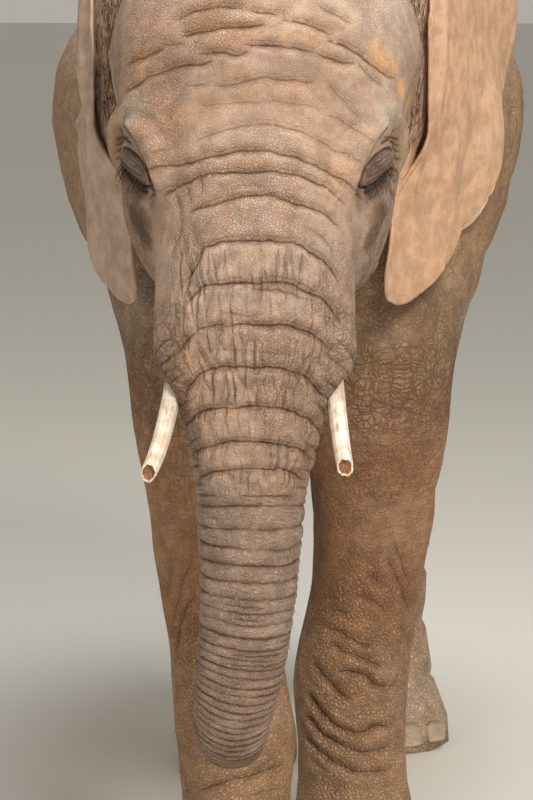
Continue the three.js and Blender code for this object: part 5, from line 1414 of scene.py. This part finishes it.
# %% Tusks
# Side, length and how far the end is spread, in mm
TUSKS = {"tusk_left": (1, 208.0, 17.0), "tusk_right": (-1, 224.0, 35.0)}
TUSK_SIDES = 48
ROOT_RADIUS, END_RADIUS = 18.4, 14.8
ivory = {}
for name, (side, length, spread) in TUSKS.items():
    start = np.array([side * 154 + HEAD_SHIFT, -800, 1232.0])
    p0 = start + [-side * 12, 42, 62]
    p1 = start + [side * spread * 0.3, -length * 0.3, -length * 0.45]
    p2 = start + [side * spread, -length * 0.82, -length * 0.62]
    t = np.linspace(0, 1, 44)[:, None]
    path = (1 - t) ** 2 * p0 + 2 * t * (1 - t) * p1 + t ** 2 * p2
    radii = ROOT_RADIUS + (END_RADIUS - ROOT_RADIUS) * t[:, 0]
    angle = np.arange(TUSK_SIDES) * 2 * math.pi / TUSK_SIDES
    rings = rings_along(path, radii, angle)
    middle = rings.mean(axis=1, keepdims=True)
    groove = 0.35 * np.sin(angle * 9 + side) + 0.3 * np.sin(angle * 17 + 2) + 0.25 * np.sin(angle * 5 - 1)
    crack = -1.3 * np.exp(-((np.sin((angle - 1.1 - side * 0.5) / 2)) / 0.045) ** 2)
    crack = crack - 1.1 * np.exp(-((np.sin((angle - 3.9) / 2)) / 0.04) ** 2)
    swell = (groove + crack * step(0.25, 0.6, t))[..., None] / radii[:, None, None]
    rings = middle + (rings - middle) * (1 + swell)
    end = path[-1] - path[-2]
    end /= np.linalg.norm(end)
    chip = -9 * np.cos(angle) + 2 + 2.2 * np.sin(angle * 3 + side) + 1.4 * np.sin(angle * 7 + 1)
    rings[-1] += end * chip[:, None]
    rings[-2] += end * (chip * 0.85)[:, None]
    rings[-3] += end * (chip * 0.6)[:, None]
    rings = list(rings)
    rim = rings[-1]
    for shrink, deep in ((0.9, 1.2), (0.74, -1.5), (0.5, -5.0), (0.25, -6.5), (0.04, -7.0)):
        rough = 1.1 * np.sin(angle * 5 + shrink * 9) * shrink
        rings.append(rim.mean(axis=0) + (rim - rim.mean(axis=0)) * shrink + end * (deep + rough)[:, None])
    piece = tube("ivory_" + ("left" if side > 0 else "right"), rings)
    bpy.ops.object.shade_smooth_by_angle(angle=math.radians(50))
    grown = np.linalg.norm(to_animal(points_of(piece)) - p0, axis=1)
    deep = to_animal(points_of(piece)) - path[-1]
    core = np.linalg.norm(deep - (deep @ end)[:, None] * end, axis=1)
    note(piece, "grown", grown / grown.max())
    note(piece, "core", np.where((deep @ end) > -14, 1 - np.clip(core / 13.5, 0, 1), 0))
    ivory[name] = piece
    print(piece.name, len(piece.data.polygons), "faces, length along the curve about",
          round(float(np.linalg.norm(np.diff(path, axis=0), axis=1).sum())), "mm")

# %% [markdown]
# ## Eyes
# An elephant's eye is amber to dark brown, about 38 mm across, wet, and mostly covered by its
# lids. The ball is a sphere whose front swells into the cornea. The material draws the iris and
# the pupil from how far a point lies off the eye's own axis.

# %% Eyeballs
eyeballs = {}
for side, name in ((1, "eye_left"), (-1, "eye_right")):
    along, up, look = eye_axes(side)
    bpy.ops.object.select_all(action="DESELECT")
    bpy.ops.mesh.primitive_uv_sphere_add(segments=48, ring_count=32, radius=1)
    piece = bpy.context.object
    piece.name = "eyeball_" + ("left" if side > 0 else "right")
    ball = points_of(piece)
    off = np.hypot(ball[:, 0], ball[:, 1])
    swell = 1 + 0.075 * step(0.62, 0.2, off) * (ball[:, 2] > 0)
    laid = (ball * swell[:, None]) @ np.stack([along, up, look]) * (EYE_RADIUS - 0.3)
    move_points(piece, to_frame(laid + EYE_AT[side]))
    note(piece, "off_axis", np.where(ball[:, 2] > 0, off, 1))
    faced_out(piece)
    bpy.ops.object.shade_smooth()
    eyeballs[name] = piece
print("eyeballs:", [piece.name for piece in eyeballs.values()])

# %% [markdown]
# ## Toenails
# Five nails stand on each forefoot and four on each hind foot. They are broad, low shields of
# horn with rounded corners, grown in fine bands that run across them and worn flat below. One
# nail is modelled, and each place on the feet gets its own copy, set into the skin.

# %% Toenails
FEET = {"front_left": (134, 190, 0), "front_right": (-103, -200, 0),
        "hind_left": (226, 1480, 1), "hind_right": (-158, 1250, 1)}
skin_tree = tree_of(skin)
bpy.ops.object.select_all(action="DESELECT")
bpy.ops.mesh.primitive_uv_sphere_add(segments=40, ring_count=26, radius=1)
pattern = bpy.context.object
ball = points_of(pattern)
squared = np.sign(ball) * np.abs(ball) ** np.array([0.82, 1.0, 0.8])
squared[:, 2] = np.where(squared[:, 2] < -0.72, -0.72 + (squared[:, 2] + 0.72) * 0.25, squared[:, 2])
bands = 1 + 0.035 * np.sin(squared[:, 2] * 19) + 0.02 * np.sin(squared[:, 2] * 43 + 1)
nail_shape = squared * np.column_stack([bands * 0 + 1, bands, bands * 0 + 1])
nails = []
for name, (x, y, hind) in FEET.items():
    for degrees in ((-42, -14, 14, 42) if hind else (-62, -31, 0, 31, 62)):
        turn = math.radians(degrees)
        out = np.array([math.sin(turn), -math.cos(turn), 0])
        hit = skin_tree.ray_cast(Vector(to_frame(np.array([x, y, 46]) + out * 320)), Vector(-out))[0]
        size = 1.0 if abs(degrees) < 20 else 0.86
        twin = added("nail", pattern.data.copy())
        lean = Matrix.Rotation(turn, 3, "Z") @ Matrix.Rotation(-0.2, 3, "X")
        shape = nail_shape * np.array([35.5 * size, 12.5, 34.5 * size])
        laid = shape @ np.array(lean).T + to_animal(np.array(hit)) - out * 7.5
        laid[:, 2] += 1.0
        move_points(twin, to_frame(np.maximum(laid, [-9999, -9999, 3.0])))
        note(twin, "band", squared[:, 2])
        nails.append(twin)
bpy.data.objects.remove(pattern)
toenails = only(*nails)
bpy.ops.object.join()
toenails.name = "toenails"
faced_out(toenails)
bpy.ops.object.shade_smooth()
print(len(nails), "toenails,", len(toenails.data.polygons), "faces")

# %% [markdown]
# ## Hairs
# Elephants carry few, stiff hairs: a tuft in two rows on the tail, lashes over the eyes, a fringe
# at the front of the ears' roots, and thin bristles all over, closer on the back, the brow and
# the legs. A particle system wouldn't leave this program, so each hair is a real, closed shape.
# One tapered hair is modelled from a cone, and copies of it are bent and laid at their roots.

# %% One hair, and a way to lay many
TUFT_HAIRS, LASHES_AN_EYE, FRINGE_RAYS_AN_EAR, BODY_BRISTLES = 460, 150, 620, 1500
bpy.ops.object.select_all(action="DESELECT")
bpy.ops.mesh.primitive_cone_add(vertices=5, radius1=1, radius2=0.18, depth=1, location=(0, 0, 0.5),
                                end_fill_type="NGON")
hair = bpy.context.object
bpy.ops.object.transform_apply(location=True, rotation=True, scale=True)
bpy.ops.object.mode_set(mode="EDIT")
for height in (0.25, 0.5, 0.75):
    bpy.ops.mesh.select_all(action="SELECT")
    bpy.ops.mesh.bisect(plane_co=(0, 0, height), plane_no=(0, 0, 1))
bpy.ops.object.mode_set(mode="OBJECT")
HAIR_POINTS = points_of(hair)
HAIR_FACES = [tuple(p.vertices) for p in hair.data.polygons]
bpy.data.objects.remove(hair)


def unwrapped(roots):
    """Place of skin points on an unwrap of the body: along it, and round its long axis."""
    along = (roots[:, 1] + 1020) / 3040
    round_it = np.arctan2(roots[:, 0] - HEAD_SHIFT / 2, roots[:, 2] - 1250) / (2 * math.pi) + 0.5
    return np.clip(np.column_stack([along, round_it]), 0.002, 0.994)


def hairs(name, roots, ways, lengths, radii, bends):
    """A mesh of many hairs. `bends` are the drifts of their tips, in shares of their length."""
    count, size = len(roots), len(HAIR_POINTS)
    ways = unit(ways)
    first = unit(np.cross(ways, [0.31, 0.17, 0.93]))
    second = np.cross(ways, first)
    t = HAIR_POINTS[:, 2]
    across, up = HAIR_POINTS[:, 0], HAIR_POINTS[:, 1]
    places = (roots[:, None] + ways[:, None] * (lengths[:, None] * t)[..., None]
              + bends[:, None] * (lengths[:, None] * t ** 2)[..., None]
              + first[:, None] * (radii[:, None] * across)[..., None]
              + second[:, None] * (radii[:, None] * up)[..., None])
    faces = [tuple(k + n * size for k in face) for n in range(count) for face in HAIR_FACES]
    mesh = bpy.data.meshes.new(name)
    mesh.from_pydata(to_frame(places.reshape(-1, 3)).tolist(), [], faces)
    piece = added(name, mesh)
    note(piece, "grown", np.tile(t, count))
    note(piece, "shade", np.repeat(np.random.default_rng(5).uniform(0, 1, count), size))
    unwrap = mesh.uv_layers.new(name="OFBake")
    corner = np.empty(len(mesh.loops), np.int32)
    mesh.loops.foreach_get("vertex_index", corner)
    spot = unwrapped(roots)[corner // size]
    spot = spot + 0.003 * np.column_stack([np.arctan2(across, up) / 6.3 + 0.5, t])[corner % size]
    unwrap.data.foreach_set("uv", np.ascontiguousarray(spot, np.float32).ravel())
    faced_out(piece)
    bpy.ops.object.shade_smooth()
    print(name, count, "hairs,", sum(len(p.vertices) - 2 for p in mesh.polygons), "triangles")
    return piece


# %% Tuft of the tail: two rows of wiry hairs, in front and behind
dice = np.random.default_rng(23)
count = TUFT_HAIRS
share = dice.uniform(0.78, 0.99, count)
row = np.where(dice.uniform(size=count) < 0.5, -1, 1)
spots, radius = tail_at(share)
roots = spots + np.column_stack([dice.normal(0, 4, count), row * radius * 0.7, np.zeros(count)])
ways = np.column_stack([dice.normal(0, 0.10, count), row * dice.uniform(0.05, 0.34, count), -np.ones(count)])
tuft = hairs("tail_tuft_hairs", roots, ways, dice.uniform(120, 200, count), dice.uniform(0.9, 1.5, count),
             np.column_stack([dice.normal(0, 0.05, count), -row * 0.1, np.full(count, -0.08)]))

# %% Where thin hairs are rooted on the finished skin
skin_tree = tree_of(skin)


def rooted(starts, ways):
    """Points where rays meet the skin, its normals there, and which rays meet it."""
    hits = [skin_tree.ray_cast(Vector(a), Vector(b)) for a, b in zip(to_frame(starts), ways)]
    met = np.array([hit[0] is not None for hit in hits])
    points = np.array([to_animal(np.array(hit[0])) for hit in hits if hit[0] is not None])
    outs = np.array([list(hit[1]) for hit in hits if hit[0] is not None])
    return points, outs, met


# %% Lashes of the upper lids, 14 to 27 mm long, that hang over the slit
dice = np.random.default_rng(31)
roots, ways, bends = [], [], []
for side in (1, -1):
    along, up, look = eye_axes(side)
    a = dice.uniform(-58, 40, LASHES_AN_EYE)
    u = np.interp(a, *zip(*SLIT_LINE)) + dice.uniform(0.5, 3.5, len(a))
    starts = EYE_AT[side] + np.outer(a, along) + np.outer(u, up) + look * 90
    points, _, met = rooted(starts, np.tile(-look, (len(a), 1)))
    roots.append(points - look * 1.5)
    ways.append(look * 0.62 - up * 0.62 + np.outer(0.004 * a[met] + dice.normal(0, 0.12, met.sum()), along))
    bends.append(np.tile(-0.55 * up + 0.1 * look, (met.sum(), 1)))
roots, ways, bends = (np.concatenate(rows) for rows in (roots, ways, bends))
count = len(roots)
lashes = hairs("eye_lashes", roots, ways, dice.uniform(14, 27, count), dice.uniform(0.4, 0.7, count), bends)

# %% Fringe along the front edge of each ear's root, 14 to 34 mm long
roots, ways, bends = [], [], []
for side in (1, -1):
    z = dice.uniform(1700, 2030, FRINGE_RAYS_AN_EAR)
    across = dice.uniform(232, 330, len(z))
    starts = np.column_stack([side * across + HEAD_SHIFT, np.full(len(z), -560.0), z])
    points, outs, met = rooted(starts, np.tile([0.0, 1.0, 0.0], (len(z), 1)))
    good = (points[:, 1] > -400) & (points[:, 1] < -290)
    points, outs = points[good], outs[good]
    roots.append(points - outs * 1.5)
    ways.append(0.5 * outs + np.array([-side * 0.35, -0.45, -0.75]) + dice.normal(0, 0.16, (len(points), 3)))
    bends.append(np.tile([-side * 0.1, 0.0, -0.4], (len(points), 1)))
roots, ways, bends = (np.concatenate(rows) for rows in (roots, ways, bends))
count = len(roots)
fringes = hairs("ear_fringe_hairs", roots, ways, dice.uniform(14, 34, count), dice.uniform(0.35, 0.65, count),
                bends)

# %% Thin bristles, sparse on the whole body and closer on the brow, back and legs
corners = np.array([tuple(p.vertices) for p in skin.data.polygons])
places = to_animal(points_of(skin))
a, b, c = (places[corners[:, k]] for k in (0, 1, 2))
cross = np.cross(b - a, c - a)
area = np.linalg.norm(cross, axis=1)
middle = (a + b + c) / 3
on_ear = where["ear"][corners].max(axis=1) > 0.05
_, y, z = middle.T
wanted = area * (z > 90) * ~on_ear * (0.25 + (y < -500) * (z > 1500) + step(1800, 1950, z)
                                      + step(1250, 1000, z))
for side in (1, -1):
    wanted *= np.linalg.norm(middle - EYE_AT[side], axis=1) > 90
chosen = dice.choice(len(area), BODY_BRISTLES, replace=False, p=wanted / wanted.sum())
outs = cross[chosen] / area[chosen, None]
roots = middle[chosen] - outs * 1.5
ways = outs * 0.75 + np.array([0.0, 0.1, -0.5]) + dice.normal(0, 0.15, (len(chosen), 3))
bristles = hairs("body_bristles", roots, ways, dice.uniform(6, 14, len(chosen)),
                 dice.uniform(0.3, 0.5, len(chosen)), np.tile([0.0, 0.0, -0.3], (len(chosen), 1)))

# %% [markdown]
# ## Ivory, eye, horn and hair
# Ivory is dentine: pale, faintly yellow, satin, with brown dirt in its grooves. The eye is wet
# and dark, so it gets a clear coat. Toenails are horn, grey-brown and worn pale at the lower
# edge. Elephant hair is black-brown, wiry and dull.

# %% Ivory
worn_ivory = material("worn_elephant_ivory")
tree = worn_ivory.node_tree
here = node(tree, "TexCoord").outputs["Object"]
# Grooves about 2.5 mm apart run down the tusk, so the pattern is drawn out along it
drawn = node(tree, "Mapping", {"vector_type": "TEXTURE", "Rotation": (math.radians(37), 0, 0),
                               "Scale": (1.0, 16.0, 1.0)}, Vector=here)
groove = node(tree, "TexNoise", {"Scale": 210.0, "Detail": 4.0}, Vector=drawn)
stain = node(tree, "TexNoise", {"Scale": 38.0, "Detail": 4.0, "Roughness": 0.6}, Vector=here)
core = node(tree, "Attribute", {"attribute_name": "core"}).outputs["Fac"]
grown = node(tree, "Attribute", {"attribute_name": "grown"}).outputs["Fac"]
warmth = node(tree, "MapRange", {**SMOOTH, "From Min": 0.42, "From Max": 0.62}, Value=stain)
colour = node(tree, "Mix", {**RGB, 6: linear("#DAD3C9"), 7: linear("#C9B69B")}, i0=warmth)
line_dirt = {**SMOOTH, "From Min": 0.58, "From Max": 0.66, "To Max": 0.6}
line_dirt = node(tree, "MapRange", line_dirt, Value=groove)
colour = node(tree, "Mix", {**RGB, 7: linear("#7C5A3C")}, i0=line_dirt, i6=colour)
root_dirt = node(tree, "MapRange", {**SMOOTH, "From Min": 0.30, "From Max": 0.0, "To Max": 0.75}, Value=grown)
colour = node(tree, "Mix", {**RGB, 7: linear("#B79468")}, i0=root_dirt, i6=colour)
brown = node(tree, "MapRange", {**SMOOTH, "From Min": 0.06, "From Max": 0.22}, Value=core)
colour = node(tree, "Mix", {**RGB, 7: linear("#7A5233")}, i0=brown, i6=colour)
height = node(tree, "Math", {"operation": "MULTIPLY_ADD", 1: -0.5}, i0=groove, i2=stain)
bump = node(tree, "Bump", {"Strength": 0.8, "Distance": 0.001}, Height=height)
rough = node(tree, "MapRange", {"To Min": 0.38, "To Max": 0.62}, Value=stain)
finished(tree, colour, rough, bump, {"IOR": 1.54})
for piece in ivory.values():
    piece.data.materials.append(worn_ivory)

# %% Eye
wet_eye = material("wet_amber_brown_eye")
tree = wet_eye.node_tree
off_axis = node(tree, "Attribute", {"attribute_name": "off_axis"}).outputs["Fac"]
here = node(tree, "TexCoord").outputs["Object"]
fibre = node(tree, "TexNoise", {"Scale": 900.0, "Detail": 3.0}, Vector=here)
iris = node(tree, "Mix", {**RGB, 6: linear("#5A3517"), 7: linear("#8C5A27")}, i0=fibre)
edge = node(tree, "MapRange", {**SMOOTH, "From Min": 0.50, "From Max": 0.58}, Value=off_axis)
colour = node(tree, "Mix", {**RGB, 7: linear("#2A1B14")}, i0=edge, i6=iris)
pupil = node(tree, "MapRange", {**SMOOTH, "From Min": 0.24, "From Max": 0.20}, Value=off_axis)
colour = node(tree, "Mix", {**RGB, 7: linear("#080605")}, i0=pupil, i6=colour)
bump = node(tree, "Bump", {"Strength": 0.15, "Distance": 0.0004}, Height=fibre)
rough = node(tree, "MapRange", {"To Min": 0.05, "To Max": 0.12}, Value=fibre)
finished(tree, colour, rough, bump, {"IOR": 1.38, "Coat Weight": 1.0, "Coat Roughness": 0.03})
for piece in eyeballs.values():
    piece.data.materials.append(wet_eye)

# %% Horn of the toenails
nail_horn = material("worn_toenail_horn")
tree = nail_horn.node_tree
here = node(tree, "TexCoord").outputs["Object"]
band = node(tree, "Attribute", {"attribute_name": "band"}).outputs["Fac"]
layers = node(tree, "Mapping", {"Scale": (0.2, 0.2, 1.0)}, Vector=here)
layers = node(tree, "TexNoise", {"Scale": 260.0, "Detail": 3.0}, Vector=layers)
stain = node(tree, "TexNoise", {"Scale": 30.0, "Detail": 4.0}, Vector=here)
colour = node(tree, "Mix", {**RGB, 6: linear("#8F7C69"), 7: linear("#BCA88F")}, i0=stain)
worn = node(tree, "MapRange", {**SMOOTH, "From Min": -0.2, "From Max": -0.75, "To Max": 0.55}, Value=band)
colour = node(tree, "Mix", {**RGB, 7: linear("#CFC0A8")}, i0=worn, i6=colour)
cuticle = node(tree, "MapRange", {**SMOOTH, "From Min": 0.45, "From Max": 0.95, "To Max": 0.7}, Value=band)
colour = node(tree, "Mix", {**RGB, 7: linear("#6F5A48")}, i0=cuticle, i6=colour)
lined = node(tree, "MapRange", {**SMOOTH, "From Min": 0.56, "From Max": 0.70, "To Max": 0.45}, Value=layers)
colour = node(tree, "Mix", {**RGB, 7: linear("#5F4B3B")}, i0=lined, i6=colour)
bump = node(tree, "Bump", {"Strength": 0.7, "Distance": 0.0012}, Height=layers)
rough = node(tree, "MapRange", {"To Min": 0.45, "To Max": 0.75}, Value=stain)
finished(tree, colour, rough, bump, {"IOR": 1.54})
toenails.data.materials.append(nail_horn)

# %% Hair
wiry_hair = material("wiry_elephant_hair")
tree = wiry_hair.node_tree
here = node(tree, "TexCoord").outputs["Object"]
grown = node(tree, "Attribute", {"attribute_name": "grown"}).outputs["Fac"]
own = node(tree, "Attribute", {"attribute_name": "shade"}).outputs["Fac"]
scales = node(tree, "TexNoise", {"Scale": 500.0, "Detail": 2.0}, Vector=here)
colour = node(tree, "Mix", {**RGB, 6: linear("#1E1712"), 7: linear("#4A3A2C")}, i0=own)
tipped = node(tree, "MapRange", {**SMOOTH, "From Min": 0.55, "From Max": 1.0, "To Max": 0.35}, Value=grown)
colour = node(tree, "Mix", {**RGB, 7: linear("#7A624A")}, i0=tipped, i6=colour)
bump = node(tree, "Bump", {"Strength": 0.3, "Distance": 0.0003}, Height=scales)
rough = node(tree, "MapRange", {"To Min": 0.5, "To Max": 0.7}, Value=scales)
finished(tree, colour, rough, bump, {})
for piece in (tuft, lashes, fringes, bristles):
    piece.data.materials.append(wiry_hair)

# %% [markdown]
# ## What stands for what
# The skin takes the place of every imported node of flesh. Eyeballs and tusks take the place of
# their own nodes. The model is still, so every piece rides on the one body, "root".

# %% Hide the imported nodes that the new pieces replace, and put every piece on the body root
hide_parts(*FLESH, "ear_left", "ear_right")
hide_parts("tail_tuft")
for name, piece in ivory.items():
    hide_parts(name)
for name, piece in eyeballs.items():
    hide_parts(name)
for piece in [skin, tuft, lashes, fringes, bristles, toenails, *ivory.values(), *eyeballs.values()]:
    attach(piece, "root")
